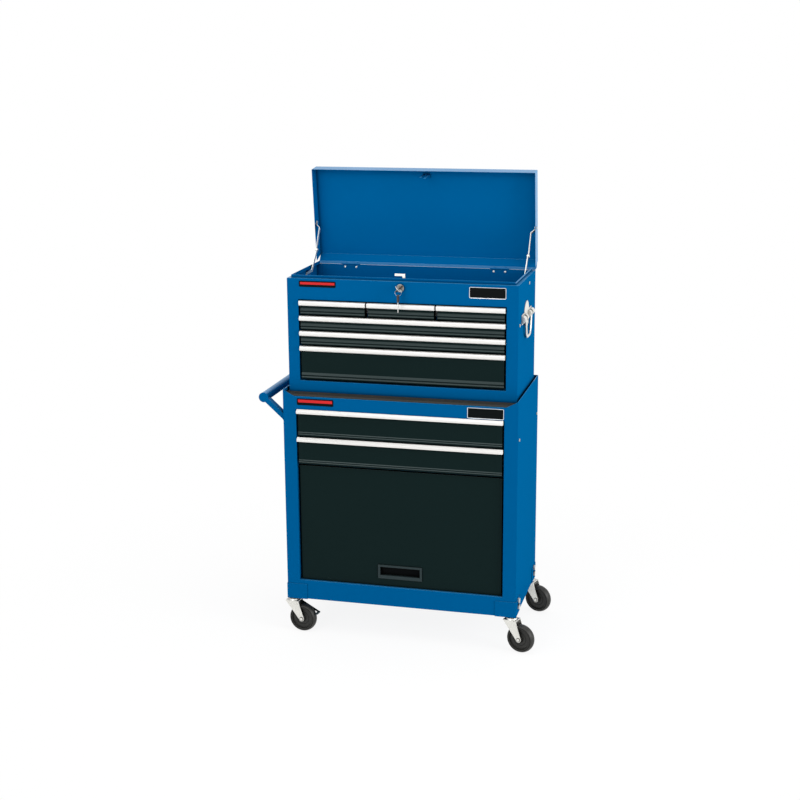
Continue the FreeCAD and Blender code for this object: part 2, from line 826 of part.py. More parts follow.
def slide_rails():
    """The fixed rails, fastened at the front to the case and at the rear to its back."""
    rails = []
    for name, unit, column, x0, x1, z0, z1 in drawer_list():
        left, right = slide_mounts(unit, column)
        y0 = case_front(unit) + front_recess + slide_start
        for x_web, inward in ((left, 1), (right, -1)):
            rails.append(channel(x_web, inward, y0, case_back(unit), slide_z(z0, z1), slide_w, slide_h))
    return rails


def ridge(x0, x1, face, top, height, out):
    """A pressed ridge across a front: a long slope that faces up over a short one that faces down."""
    root = face + sheet / 4
    crest = face - out
    crest_top, crest_low = (top - part * height for part in ridge_crest)
    return prism_x([(root, top), (crest, crest_top), (crest, crest_low), (root, top - height)], x0, x1)


def drawer(unit, column, x0, x1, z0, z1):
    """A folded box behind a ridged front, with the moving members of its slides."""
    left, right = slide_mounts(unit, column)
    face = case_front(unit) + front_recess
    inset = front_side_gap - rail_side_gap
    fx0, fx1 = x0 + inset, x1 - inset
    front = block(fx0, fx1, face, face + front_return, z0, z1)
    front = front.cut(block(fx0 + sheet, fx1 - sheet, face + sheet, face + front_return + 1,
                            z0 + sheet, z1 - sheet))
    shapes = base_ridges if unit == "base" else chest_ridges
    ridges = [ridge(fx0, fx1, face, z0 + top, height, out) for top, height, out in shapes]
    back = case_back(unit) - box_rear_gap
    bx0 = left + slide_w + loose_gap
    bx1 = right - slide_w - loose_gap
    bz0, bz1 = z0 + box_under, z1 - box_over
    box = block(bx0, bx1, face, back, bz0, bz1)
    box = box.cut(block(bx0 + sheet, bx1 - sheet, face + sheet, back - sheet, bz0 + sheet, bz1 + 1))
    reach = slide_w - slide_t
    height = slide_h - 2 * slide_t - 2 * loose_gap
    y0 = face + slide_start
    zc = slide_z(z0, z1)
    members = [channel(bx0, -1, y0, back, zc, reach, height), channel(bx1, 1, y0, back, zc, reach, height)]
    return fuse([front, box] + ridges + members)


def pull_rail(unit, x0, x1, z1):
    """The bright rail along a drawer front's top edge: a lip that stands off the front."""
    face = case_front(unit) + front_recess
    return prism_x([(face - out, z1 - down) for out, down in pull_profiles[unit]], x0, x1)


def lid_shell():
    """The closed lid: a shallow pan whose rear corner is bevelled and whose sides stop short of it."""
    rear = chest_back
    bend = hinge_z + lid_bend
    edge = hinge_z + knuckle_r + loose_gap

    def outline(inset, low):
        slope = (lid_top - bend) / lid_bevel
        return [(lid_front + inset, low), (lid_front + inset, lid_top - inset),
                (rear - lid_bevel - inset * 0.5, lid_top - inset), (rear - inset, bend - inset * slope * 0.5),
                (rear - inset, low)]

    outer = prism_x(outline(0, lid_bottom), -chest_x, chest_x)
    rounded = [e for e in outer.Edges if lid_edge(e)]
    outer = outer.makeFillet(lid_round, rounded)
    inner = prism_x(outline(sheet, lid_bottom - 5), -chest_x + sheet, chest_x - sheet)
    shell = outer.cut(inner)
    low_rear = block(chest_x - sheet, chest_x + 1, rear - lid_side_cut, rear + 1, lid_bottom - 1, edge)
    corner = prism_x([(rear - lid_side_cut, lid_bottom - 1), (rear - lid_side_slope, lid_top - sheet),
                      (rear + 1, lid_top - sheet), (rear + 1, lid_bottom - 1)], chest_x - sheet, chest_x + 1)
    pivot_y, pivot_z = lid_pivot
    bore = rod_x(stay_rivet_r + running_gap, chest_x - 2, chest_x + 1, pivot_y, pivot_z)
    cuts = [low_rear, corner, bore, hinge_notch(lid_bottom - 1, edge)] + rivet_holes(hinge_z + rivet_above)
    return shell.cut(cuts + [mirrored(cut) for cut in cuts])


def lid_edge(edge):
    """True for the outer edges of the lid that are rounded: its top and its front corners."""
    a, b = edge.Vertexes[0].Point, edge.Vertexes[-1].Point
    near_top = min(a.z, b.z) > lid_top - 0.1
    at_front = max(a.y, b.y) < lid_front + 0.1
    return (near_top and not min(a.y, b.y) > chest_back - lid_bevel - 1) or (at_front and abs(a.z - b.z) > 1)


def opened(shape):
    """Turns a piece of the closed lid to the open position it rests in."""
    return turned(shape, hinge, X, -lid_open_deg)


def hinge_parts():
    """The wall leaf with its pin, and the lid leaf, of the right hinge in the closed position."""
    x0, x1 = leaf_x - leaf_w / 2, leaf_x + leaf_w / 2
    m0, m1 = leaf_x - knuckle_mid / 2, leaf_x + knuckle_mid / 2
    y0, y1 = chest_back, chest_back + leaf_t
    knuckles = rod_x(knuckle_r, x0, x1, hinge_y, hinge_z)
    wall = fuse([block(x0, x1, y0, y1, hinge_z - leaf_drop, hinge_z), knuckles])
    lid = fuse([block(x0, x1, y0, y1, hinge_z, hinge_z + leaf_rise), knuckles])
    clear = knuckle_r + loose_gap
    middle = rod_x(clear, m0 - loose_gap / 2, m1 + loose_gap / 2, hinge_y, hinge_z)
    ends = [rod_x(clear, x0 - 1, m0 + loose_gap / 2, hinge_y, hinge_z),
            rod_x(clear, m1 - loose_gap / 2, x1 + 1, hinge_y, hinge_z)]
    pin = rod_x(hinge_pin_r, x0, x1, hinge_y, hinge_z)
    bore = rod_x(hinge_pin_r + running_gap, m0 - 1, m1 + 1, hinge_y, hinge_z)
    wall_leaf = fuse([wall.cut(middle), pin] + rivet_pair(hinge_z - rivet_below))
    lid_leaf = fuse([lid.cut(ends)] + rivet_pair(hinge_z + rivet_above)).cut(bore)
    return wall_leaf, lid_leaf


def rivet_pair(z):
    """The right hinge's two rivets at height z: a domed head inside the wall, the shank out to the leaf."""
    inside = chest_back - sheet
    pair = []
    for x in (leaf_x - rivet_from_middle, leaf_x + rivet_from_middle):
        dome = Part.makeSphere(rivet_r, V(x, inside + rivet_r - rivet_h, z))
        head = dome.common(rod_y(rivet_r, inside - rivet_h, inside, x, z))
        pair.append(fuse([head, rod_y(rivet_shank_r, inside - rivet_h / 2, chest_back + leaf_t, x, z)]))
    return pair


# Stay pivots as (y, z): on the chest's side, at the elbow with the lid open, and on the closed lid
body_pivot = (hinge_y - body_pivot_ahead, hinge_z - body_pivot_drop)
elbow = (hinge_y - elbow_ahead, hinge_z + elbow_rise)
lid_pivot = (hinge_y - lid_pivot_along, hinge_z + lid_pivot_up)


def turned_point(point, centre, degrees):
    a = math.radians(degrees)
    dy, dz = point[0] - centre[0], point[1] - centre[1]
    return (centre[0] + dy * math.cos(a) - dz * math.sin(a), centre[1] + dy * math.sin(a) + dz * math.cos(a))


open_lid_pivot = turned_point(lid_pivot, (hinge_y, hinge_z), -lid_open_deg)


def stay_link(start, end, x_plane, wall_face, elbow_head):
    """One strip of the right stay, from its wall pivot to the elbow, with a joggle near the wall."""
    length = math.dist(start, end)
    half = stay_w / 2
    x_wall = wall_face - stay_wall_gap
    a, b = stay_joggle_start, stay_joggle_start + stay_joggle_run
    a_in, b_in = a - stay_joggle_lag, b - stay_joggle_lag
    profile = [(-half, x_wall), (a, x_wall), (b, x_plane + stay_t), (length + half, x_plane + stay_t),
               (length + half, x_plane), (b_in, x_plane), (a_in, x_wall - stay_t), (-half, x_wall - stay_t)]
    corners = [V(x, s, -half) for s, x in profile]
    strip = Part.Face(Part.makePolygon(corners + corners[:1])).extrude(V(0, 0, stay_w))
    deep = 2 * x_wall
    outline = fuse([block(0, deep, 0, length, -half, half), rod_x(half, 0, deep, 0, 0),
                    rod_x(half, 0, deep, length, 0)])
    strip = strip.common(outline)
    pin = rod_x(stay_rivet_r, x_wall - stay_t, wall_face + sheet + stay_wall_gap, 0, 0)
    out = wall_face + sheet + stay_wall_gap
    heads = [rod_x(stay_head_r, out, out + stay_head_t, 0, 0),
             rod_x(stay_head_r, x_wall - stay_t - stay_head_t, x_wall - stay_t, 0, 0)]
    if elbow_head > 0:
        heads.append(rod_x(stay_head_r, x_plane + stay_t, x_plane + stay_t + stay_head_t, length, 0))
    else:
        heads.append(rod_x(stay_head_r, x_plane - stay_head_t, x_plane, length, 0))
    link = fuse([strip, pin] + heads)
    angle = math.degrees(math.atan2(end[1] - start[1], end[0] - start[0]))
    link.rotate(V(0, 0, 0), X, angle)
    link.translate(V(0, start[0], start[1]))
    return link


def lock_parts():
    """The barrel with its keyway, the cam behind it and the key in it."""
    z = chest_top - lock_drop
    cam_y = chest_front + shoulder + sheet + cam_behind_lip
    head_y = chest_front - lock_proud
    barrel = fuse([rod_y(lock_head_r, head_y, chest_front - lock_gap, 0, z),
                   rod_y(lock_body_r, head_y, cam_y, 0, z)])
    slot_t, slot_w = key_t / 2 + lock_gap, key_neck_w / 2 + lock_gap
    slot = block(-slot_t, slot_t, head_y - 1, head_y + key_slot_depth, z - slot_w, z + slot_w)
    centre = V(0, 0, z)
    barrel = barrel.cut(turned(slot, centre, Y, -key_turn))
    cam = fuse([rod_y(cam_hub_r, cam_y, cam_y + cam_t, 0, z),
                block(cam_leg_x, cam_leg_x + cam_leg_w, cam_y, cam_y + cam_t, z, z + cam_rise),
                block(-cam_bar_left, cam_leg_x + cam_leg_w, cam_y, cam_y + cam_t, z + cam_rise - cam_bar_h,
                      z + cam_rise)])
    bow_y = head_y - key_bow_r - key_bow_gap
    x = key_t / 2
    bow = rod_x(key_bow_r, -x, x, bow_y, z)
    neck = block(-x, x, bow_y, head_y + key_slot_depth, z - key_neck_w / 2, z + key_neck_w / 2)
    hole = rod_x(key_hole_r, -key_t, key_t, key_ring_y(), z)
    key = turned(fuse([bow, neck]).cut(hole), centre, Y, -key_turn)
    return barrel, cam, key


def key_ring_y():
    """Where the ring passes through the bow of the key in the lock."""
    return chest_front - lock_proud - key_bow_gap - 2 * key_bow_r + key_hole_back


def spare_key():
    """A split ring through the key's bow, and the spare key that hangs from it."""
    z = chest_top - lock_drop
    y = key_ring_y()
    ring = Part.makeTorus(ring_r, ring_wire, V(0, y, z - ring_r), Y)
    bottom = z - 2 * ring_r
    bow_z = bottom - spare_bow_r + spare_hole_r + spare_hole_back
    bow = rod_x(spare_bow_r, -spare_bow_t / 2, spare_bow_t / 2, y, bow_z)
    blade = block(-spare_bow_t / 2, spare_bow_t / 2, y - spare_blade_w / 2, y + spare_blade_w / 2,
                  bow_z - spare_bow_r - spare_blade_l, bow_z)
    hole = rod_x(spare_hole_r, -spare_bow_t, spare_bow_t, y, bottom)
    return [ring, fuse([bow, blade]).cut(hole)]


def lid_catch():
    """A bracket under the closed lid: two prongs, the right one with a foot the cam goes over."""
    z = chest_top - lock_drop
    cam_y = chest_front + shoulder + sheet + cam_behind_lip
    y0 = cam_y + cam_t + catch_cam_gap
    y1 = y0 + catch_t
    top = lid_top - sheet
    tab_top = z - cam_leg_x - cam_leg_w - catch_cam_gap
    low = tab_top - catch_t
    foot = block(catch_left, catch_right, y0, y1 + catch_foot, top - catch_t, top)
    web = block(catch_left, catch_right, y0, y1, top - catch_web_h, top)
    right = block(catch_right - catch_prong_w, catch_right, y0, y1, low, top)
    left = block(catch_left, catch_left + catch_prong_w, y0, y1, z + cam_hub_r, top)
    tab = block(catch_right - catch_prong_w, catch_right, cam_y, y1, low, tab_top)
    return fuse([foot, web, right, left, tab])


def drop_handle_plate():
    """The right drop handle's plate with two housings for the bail's ends."""
    yc = base_front + drop_y
    x0, x1 = chest_x, chest_x + drop_plate_t
    bar = block(x0, x1, yc - drop_plate_w / 2, yc + drop_plate_w / 2, drop_z - drop_plate_h / 2,
                drop_z + drop_plate_h / 2)
    pieces = [bar, rod_x(drop_disc_r, x0, x1, yc, drop_z + drop_disc_up)]
    cuts = []
    for side in (-1, 1):
        ya, yb = sorted((yc + side * (drop_housing_y - drop_housing_l / 2),
                         yc + side * (drop_housing_y + drop_housing_l / 2)))
        flat = drop_housing_out - drop_housing_r
        round_part = rod_y(drop_housing_r, ya, yb, x1 + flat, drop_z)
        keep = block(x1, x1 + 2 * drop_housing_out, ya, yb, drop_z - drop_housing_r, drop_z + drop_housing_r)
        pieces += [round_part.common(keep), block(x1, x1 + flat, ya, yb, drop_z - drop_housing_r,
                                                  drop_z + drop_housing_r)]
        la, lb = sorted((yc + side * (bail_leg_y - bail_slot_in), yc + side * (bail_leg_y + bail_slot_out)))
        cuts.append(block(x1 + housing_floor, x1 + 2 * drop_housing_out, la, lb, drop_z - drop_plate_w,
                          drop_z + drop_plate_w))
        ea, eb = sorted((yc + side * bail_leg_y, yc + side * (bail_end_y + bail_end_gap)))
        cuts.append(rod_y(bail_r + running_gap, ea, eb, chest_x + bail_out, drop_z))
    return fuse(pieces).cut(cuts)


def bail():
    yc = base_front + drop_y
    x = chest_x + bail_out
    low = drop_z - bail_hang
    points = [V(x, yc - bail_end_y, drop_z), V(x, yc - bail_leg_y, drop_z), V(x, yc - bail_foot_y, low),
              V(x, yc + bail_foot_y, low), V(x, yc + bail_leg_y, drop_z), V(x, yc + bail_end_y, drop_z)]
    return wire_rod(points, [bail_bend, bail_foot_bend, bail_foot_bend, bail_bend], bail_r)


def body_fasteners():
    """The bracket bolts with their nuts and the pan-head screws, on both sides."""
    solids = []
    face = base_x + bracket_t
    for y, z in bolt_places():
        shank = rod_x(bolt_r, base_x - sheet - bolt_nut_h - 1, face, y, z)
        head = hexagon(bolt_flats, bolt_head_h, V(face, y, z), X)
        nut = hexagon(bolt_flats, bolt_nut_h, V(base_x - sheet - bolt_nut_h, y, z), X)
        solids += both_sides(fuse([shank, head, nut]))
    for y in screw_ys_base():
        solids.append(side_screw(base_x, y, base_screw_z))
        solids.append(mirrored(side_screw(base_x + strut_foot_t, y, base_screw_z)))
    return solids + both_sides(side_screw(chest_x, chest_front + chest_screw_y_inset, chest_screw_z))


def side_screw(x, y, z):
    """A pan-head screw from the right, its head on the face at x."""
    head = rod_x(screw_head_r, x, x + screw_head_h, y, z)
    return fuse([head, rod_x(screw_r, x - screw_len, x, y, z)])


os.makedirs("parts", exist_ok=True)

save("cabinet_front_frame", base_front_frame())
save("cabinet_side_right", base_side())
save("cabinet_side_left", mirrored(base_side()))
save("cabinet_back", block(-base_x, base_x, base_back - sheet, base_back, base_bottom, rim_z))
save("cabinet_floor", base_floor())
save("cabinet_top", block(-base_x + sheet, base_x - sheet, base_front + sheet, base_back - sheet,
                          tray_z - sheet, tray_z))
save("mid_shelf", mid_shelf())
mat_x = base_x - 2 * sheet - mat_edge_gap
save("top_mat", block(-mat_x, mat_x, base_front + mat_edge_gap, base_back - sheet - mat_edge_gap,
                      tray_z, tray_z + mat_t))
save("corner_brackets", corner_brackets())
save("caster_stems", [caster_stem(x, y) for x, y in casters.values()])
save("push_handle", push_handle())
save("slide_rails", slide_rails())
save("body_fasteners", body_fasteners())

for corner in casters:
    braked = corner.endswith("left")
    save("caster_fork_" + corner, place_caster(fork(braked), corner))
    save("caster_wheel_" + corner, place_caster(wheel(), corner))
    if braked:
        save("brake_lever_" + corner, [place_caster(piece, corner) for piece in brake_lever()])

save("door", door())
save("door_pull", door_pull())

save("chest_front_frame", chest_front_frame())
save("chest_side_right", chest_side())
save("chest_side_left", mirrored(chest_side()))
save("chest_back", chest_back_panel())
save("chest_floor", chest_floor())
save("inner_frame", inner_frame())

for name, unit, column, x0, x1, z0, z1 in drawer_list():
    save(name, drawer(unit, column, x0, x1, z0, z1))
    save(name + "_pull", pull_rail(unit, x0, x1, z1))

save("lid", opened(lid_shell()))
wall_leaf, lid_leaf = hinge_parts()
save("chest_hinge_leaves", both_sides(wall_leaf))
save("lid_hinge_leaves", [opened(leaf) for leaf in both_sides(lid_leaf)])
save("lid_catch", opened(lid_catch()))

link_x = chest_x - stay_plane
lower = stay_link(body_pivot, elbow, link_x - stay_t - loose_gap, chest_x - sheet, -1)
upper = stay_link(open_lid_pivot, elbow, link_x, chest_x - sheet, 1)
save("stay_lower_links", both_sides(lower))
save("stay_upper_links", both_sides(upper))

lock_barrel, lock_cam, key = lock_parts()
save("lock_barrel", lock_barrel)
save("lock_cam", lock_cam)
save("key", key)
save("spare_key", spare_key())

save("side_handle_plates", both_sides(drop_handle_plate()))
save("bail_right", bail())
save("bail_left", mirrored(bail()))
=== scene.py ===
import json
import math

import bmesh
import bpy
from mathutils import Matrix, Vector

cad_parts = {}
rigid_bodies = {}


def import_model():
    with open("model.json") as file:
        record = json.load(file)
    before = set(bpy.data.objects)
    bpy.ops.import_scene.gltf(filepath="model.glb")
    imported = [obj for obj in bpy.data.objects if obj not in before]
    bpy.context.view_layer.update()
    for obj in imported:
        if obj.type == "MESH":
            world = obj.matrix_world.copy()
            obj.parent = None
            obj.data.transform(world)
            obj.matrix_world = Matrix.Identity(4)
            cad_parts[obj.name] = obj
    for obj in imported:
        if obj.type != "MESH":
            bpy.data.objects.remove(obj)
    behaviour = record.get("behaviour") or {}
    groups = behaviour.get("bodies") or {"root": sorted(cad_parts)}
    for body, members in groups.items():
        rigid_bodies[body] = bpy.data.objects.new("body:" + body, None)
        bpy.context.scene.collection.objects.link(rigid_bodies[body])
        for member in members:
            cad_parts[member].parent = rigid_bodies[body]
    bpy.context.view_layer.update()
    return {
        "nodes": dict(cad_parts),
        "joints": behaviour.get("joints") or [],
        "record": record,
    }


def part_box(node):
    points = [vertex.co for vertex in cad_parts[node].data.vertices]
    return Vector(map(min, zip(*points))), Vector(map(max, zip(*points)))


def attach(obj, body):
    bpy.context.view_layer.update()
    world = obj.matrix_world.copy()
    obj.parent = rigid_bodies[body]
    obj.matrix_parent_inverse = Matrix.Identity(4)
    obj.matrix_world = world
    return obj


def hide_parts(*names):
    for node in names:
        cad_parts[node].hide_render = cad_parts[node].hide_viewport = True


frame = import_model()

# Sizes here are in metres, worked out from millimetres. A colour is written as the sRGB shade it shows.
MM = 0.001


def shade(red, green, blue):
    """An sRGB colour from 0 to 255 as the linear colour that a shader wants."""
    def linear(value):
        c = value / 255
        return c / 12.92 if c <= 0.04045 else ((c + 0.055) / 1.055) ** 2.4
    return (linear(red), linear(green), linear(blue), 1.0)


# Shared shader effects

def new_group(name, inputs, outputs):
    """A node group with named sockets. Gives the group, its start node and its end node."""
    group = bpy.data.node_groups.new(name, "ShaderNodeTree")
    for label, kind, default in inputs:
        socket = group.interface.new_socket(label, in_out="INPUT", socket_type=kind)
        socket.default_value = default
    for label, kind in outputs:
        group.interface.new_socket(label, in_out="OUTPUT", socket_type=kind)
    return group, group.nodes.new("NodeGroupInput"), group.nodes.new("NodeGroupOutput")


def feed(tree, node, **values):
    """Fills a node's inputs with plain values, or with links where the value is a socket.

    A value's name is that of the input, or socket_ and the input's number.
    """
    for name, value in values.items():
        key = int(name.removeprefix("socket_")) if name.startswith("socket_") else name.replace("_", " ")
        if isinstance(value, bpy.types.NodeSocket):
            tree.links.new(value, node.inputs[key])
        else:
            node.inputs[key].default_value = value
    return node


def add_node(tree, kind, operation=None, **values):
    node = tree.nodes.new(kind)
    if operation:
        node.operation = operation
    return feed(tree, node, **values)


def calculate(tree, operation, *values):
    """A math node over plain values and sockets. Gives its result."""
    inputs = {f"socket_{i}": value for i, value in enumerate(values)}
    return add_node(tree, "ShaderNodeMath", operation, **inputs).outputs[0]


def noise(tree, vector, scale, detail):
    return add_node(tree, "ShaderNodeTexNoise", Vector=vector, Scale=scale, Detail=detail).outputs["Fac"]


def ramp(tree, value, from_min, from_max, to_min=0.0, to_max=1.0):
    """Spreads the range from_min to from_max of a value over the range to_min to to_max."""
    spread = add_node(tree, "ShaderNodeMapRange", Value=value, From_Min=from_min, From_Max=from_max,
                      To_Min=to_min, To_Max=to_max)
    return spread.outputs["Result"]


def stretched(tree, vector, stretch):
    """A place whose pattern is drawn out along each axis where the stretch is small."""
    longer = add_node(tree, "ShaderNodeVectorMath", "MULTIPLY", socket_0=vector, socket_1=stretch)
    return longer.outputs["Vector"]


# Cosine of the turn from a face to its softened edge: where a fold starts to show, and where it shows fully
FOLD_SEEN = 0.999
FOLD_FULL = 0.93
# Share of open room round a point: where the painted shade of a gap is darkest, and where it no longer shows
GAP_CLOSED = 0.25
GAP_OPEN = 0.85


def fold_mask_group():
    """White along the folds and edges of a sheet, black on its flats."""
    group, start, end = new_group("fold_mask", [("Radius", "NodeSocketFloat", 0.001)],
                                  [("Mask", "NodeSocketFloat"), ("Normal", "NodeSocketVector")])
    bevel = add_node(group, "ShaderNodeBevel", Radius=start.outputs["Radius"])
    bevel.samples = 4
    softened = bevel.outputs["Normal"]
    flat = add_node(group, "ShaderNodeNewGeometry").outputs["Normal"]
    turn = add_node(group, "ShaderNodeVectorMath", "DOT_PRODUCT", socket_0=softened, socket_1=flat)
    feed(group, end, Mask=ramp(group, turn.outputs["Value"], FOLD_SEEN, FOLD_FULL), Normal=softened)
    return group


def gap_shade(group, start, darkest):
    """Painted shade in narrow gaps and inner corners: 1 in the open, darkest where it is closed in."""
    gap = add_node(group, "ShaderNodeAmbientOcclusion", Distance=start.outputs["Gap"])
    gap.samples = 8
    return ramp(group, gap.outputs["AO"], GAP_CLOSED, GAP_OPEN, darkest, 1.0)


# Powder coat: how fine its noises are
DRIFT_SCALE = 4.0
PEEL_SCALE = 700.0
STREAK_STRETCH = (1.5, 70.0, 70.0)
# The part of a noise's range that is spread over an effect, and the least of the effect that is left
NOISE_LOW = 0.3
NOISE_HIGH = 0.7
CLOUD_LEAST = 0.8
STREAK_LEAST = 0.4
# How far a face turns to the right or up, from 0 to 1: where an effect starts, and where it is full
RIM_FACING = (0.6, 0.95)
STREAK_FACING = (0.3, 0.65)
# Where the right end of the object starts
RIM_BESIDE = 200 * MM
# Brightness of the paint where its drift is least, and of its painted shade in the narrowest gaps
DRIFT_BASE = 0.97
PAINT_GAP_SHADE = 0.1


def sky_share(group, start, place, drift):
    """How much painted reflection of the white room the paint gets, in soft clouds.

    It shows where the paint faces up, and at the right end of the object above the height Rim From.
    """
    facing = add_node(group, "ShaderNodeSeparateXYZ", Vector=start.outputs["Round Normal"])
    spot = add_node(group, "ShaderNodeSeparateXYZ", Vector=place)
    up = ramp(group, facing.outputs["Z"], start.outputs["Sky From"], start.outputs["Sky To"])
    right = ramp(group, facing.outputs["X"], *RIM_FACING)
    above = calculate(group, "GREATER_THAN", spot.outputs["Z"], start.outputs["Rim From"])
    beside = calculate(group, "GREATER_THAN", spot.outputs["X"], RIM_BESIDE)
    rim = calculate(group, "MULTIPLY", right, calculate(group, "MULTIPLY", above, beside))
    clouds = ramp(group, drift, NOISE_LOW, NOISE_HIGH, CLOUD_LEAST, 1.0)
    return calculate(group, "MULTIPLY", calculate(group, "MAXIMUM", up, rim), clouds)


def painted_fold_highlights(group, start, place):
    """A painted highlight: the light that the folds that face up catch, in soft streaks."""
    facing = add_node(group, "ShaderNodeSeparateXYZ", Vector=start.outputs["Round Normal"])
    lift = ramp(group, facing.outputs["Z"], *STREAK_FACING)
    grain = noise(group, stretched(group, place, STREAK_STRETCH), 1.0, 2.0)
    highlight_streaks = ramp(group, grain, NOISE_LOW, NOISE_HIGH, STREAK_LEAST, 1.0)
    lifted = calculate(group, "MULTIPLY", start.outputs["Fold Mask"], lift)
    streaked = calculate(group, "MULTIPLY", lifted, highlight_streaks)
    return calculate(group, "MULTIPLY", streaked, start.outputs["Fold Amount"])


def powder_coat_group():
    """Powder coat: orange peel for the bump, slow drifts of colour and dullness, painted highlights on folds
    that face up, painted shade in gaps.

    The paint goes over to its highlight colour as a painted highlight on its folds and as a painted
    reflection where the white room shows in it. Sky is that second share alone.
    """
    group, start, end = new_group(
        "powder_coat",
        [("Paint", "NodeSocketColor", (0.5, 0.5, 0.5, 1)), ("Fold", "NodeSocketColor", (0.6, 0.6, 0.6, 1)),
         ("Fold Amount", "NodeSocketFloat", 0.1), ("Fold Mask", "NodeSocketFloat", 0.0),
         ("Round Normal", "NodeSocketVector", (0, 0, 0)), ("Sky Amount", "NodeSocketFloat", 0.3),
         ("Sky From", "NodeSocketFloat", 0.4), ("Sky To", "NodeSocketFloat", 0.9),
         ("Rim From", "NodeSocketFloat", 10.0), ("Drift", "NodeSocketFloat", 0.06),
         ("Dullness", "NodeSocketFloat", 0.3), ("Smudge", "NodeSocketFloat", 0.06),
         ("Gap", "NodeSocketFloat", 0.012)],
        [("Color", "NodeSocketColor"), ("Roughness", "NodeSocketFloat"), ("Height", "NodeSocketFloat"),
         ("Sky", "NodeSocketFloat")])
    place = add_node(group, "ShaderNodeTexCoord").outputs["Object"]
    drift = noise(group, place, DRIFT_SCALE, 4.0)
    sky = sky_share(group, start, place, drift)
    highlight_streaks = painted_fold_highlights(group, start, place)
    # The share by which the paint turns toward its highlight colour: painted reflection and painted
    # highlight
    painted_light_share = calculate(group, "MULTIPLY_ADD", sky, start.outputs["Sky Amount"], highlight_streaks)
    painted_light_share.node.use_clamp = True
    painted = add_node(group, "ShaderNodeMix")
    painted.data_type = "RGBA"
    feed(group, painted, Factor=painted_light_share, socket_6=start.outputs["Paint"], socket_7=start.outputs["Fold"])
    tone = calculate(group, "MULTIPLY_ADD", drift, start.outputs["Drift"], DRIFT_BASE)
    value = calculate(group, "MULTIPLY", tone, gap_shade(group, start, PAINT_GAP_SHADE))
    tint = add_node(group, "ShaderNodeHueSaturation", Value=value, Color=painted.outputs[2])
    rough = calculate(group, "MULTIPLY_ADD", drift, start.outputs["Smudge"], start.outputs["Dullness"])
    peel = noise(group, place, PEEL_SCALE, 1.0)
    feed(group, end, Color=tint.outputs["Color"], Roughness=rough, Height=peel, Sky=sky)
    return group


# Plated metal: how fine its noises are
CLOUD_SCALE = 60.0
GRAIN_SCALE = 900.0
# Brightness of the metal where its clouds are least, and of its painted shade in the narrowest gaps
METAL_BASE = 0.88
METAL_GAP_SHADE = 0.05
# How much the grain adds to the dullness
BRUSHING = 0.12


def plated_metal_group():
    """Plated steel: cloudy tone with painted shade in gaps, and fine grain that the stretch draws into
    brushing.
    """
    group, start, end = new_group(
        "plated_metal",
        [("Metal", "NodeSocketColor", (0.6, 0.6, 0.6, 1)), ("Cloud", "NodeSocketFloat", 0.25),
         ("Dullness", "NodeSocketFloat", 0.25), ("Stretch", "NodeSocketVector", (1, 1, 1)),
         ("Gap", "NodeSocketFloat", 0.012)],
        [("Color", "NodeSocketColor"), ("Roughness", "NodeSocketFloat"), ("Height", "NodeSocketFloat")])
    place = add_node(group, "ShaderNodeTexCoord").outputs["Object"]
    cloud = noise(group, place, CLOUD_SCALE, 5.0)
    grain = noise(group, stretched(group, place, start.outputs["Stretch"]), GRAIN_SCALE, 2.0)
    tone = calculate(group, "MULTIPLY_ADD", cloud, start.outputs["Cloud"], METAL_BASE)
    value = calculate(group, "MULTIPLY", tone, gap_shade(group, start, METAL_GAP_SHADE))
    tint = add_node(group, "ShaderNodeHueSaturation", Value=value, Color=start.outputs["Metal"])
    rough = calculate(group, "MULTIPLY_ADD", grain, BRUSHING, start.outputs["Dullness"])
    feed(group, end, Color=tint.outputs["Color"], Roughness=rough, Height=grain)
    return group


FOLD_MASK = fold_mask_group()
POWDER_COAT = powder_coat_group()
PLATED_METAL = plated_metal_group()


def new_material(name):
    material = bpy.data.materials.new(name)
    material.use_nodes = True
    return material, material.node_tree, material.node_tree.nodes["Principled BSDF"]


def add_effect(tree, group, **values):
    """Places an effect in a material, with the material's own values."""
    node = tree.nodes.new("ShaderNodeGroup")
    node.node_tree = group
    return feed(tree, node, **values)


def finish_surface(tree, shader, effect, depth, folds):
    """Joins an effect's colour, roughness and bump to the shader, on top of softened edges."""
    bump = add_node(tree, "ShaderNodeBump", Strength=1.0, Distance=depth, Height=effect.outputs["Height"],
                    Normal=folds.outputs["Normal"])
    feed(tree, shader, Base_Color=effect.outputs["Color"], Roughness=effect.outputs["Roughness"],
         Normal=bump.outputs["Normal"])


def paint_material(name, paint, dullness, highlight=None, fold_highlight=0.1, sky_amount=0.3, sky_from=0.4,
                   sky_to=0.9, rim_from=10.0, coat=False, level=0.1, metallic=0.0, tint=(1, 1, 1, 1),
                   drift=0.06, smudge=0.06, peel=0.02 * MM, radius=0.6 * MM, gap=12 * MM):
    """A painted or moulded surface. level is its specular level, tint the colour of its reflections."""
    material, tree, shader = new_material(name)
    folds = add_effect(tree, FOLD_MASK, Radius=radius)
    effect = add_effect(tree, POWDER_COAT, Paint=paint, Fold=highlight or paint, Fold_Amount=fold_highlight,
                        Fold_Mask=folds.outputs["Mask"], Round_Normal=folds.outputs["Normal"],
                        Sky_Amount=sky_amount, Sky_From=sky_from, Sky_To=sky_to, Rim_From=rim_from,
                        Drift=drift, Dullness=dullness, Smudge=smudge, Gap=gap)
    feed(tree, shader, Specular_IOR_Level=level, Specular_Tint=tint, Metallic=metallic)
    if coat:
        feed(tree, shader, Coat_Weight=effect.outputs["Sky"], Coat_Roughness=0.3, Coat_IOR=1.4)
    finish_surface(tree, shader, effect, peel, folds)
    return material


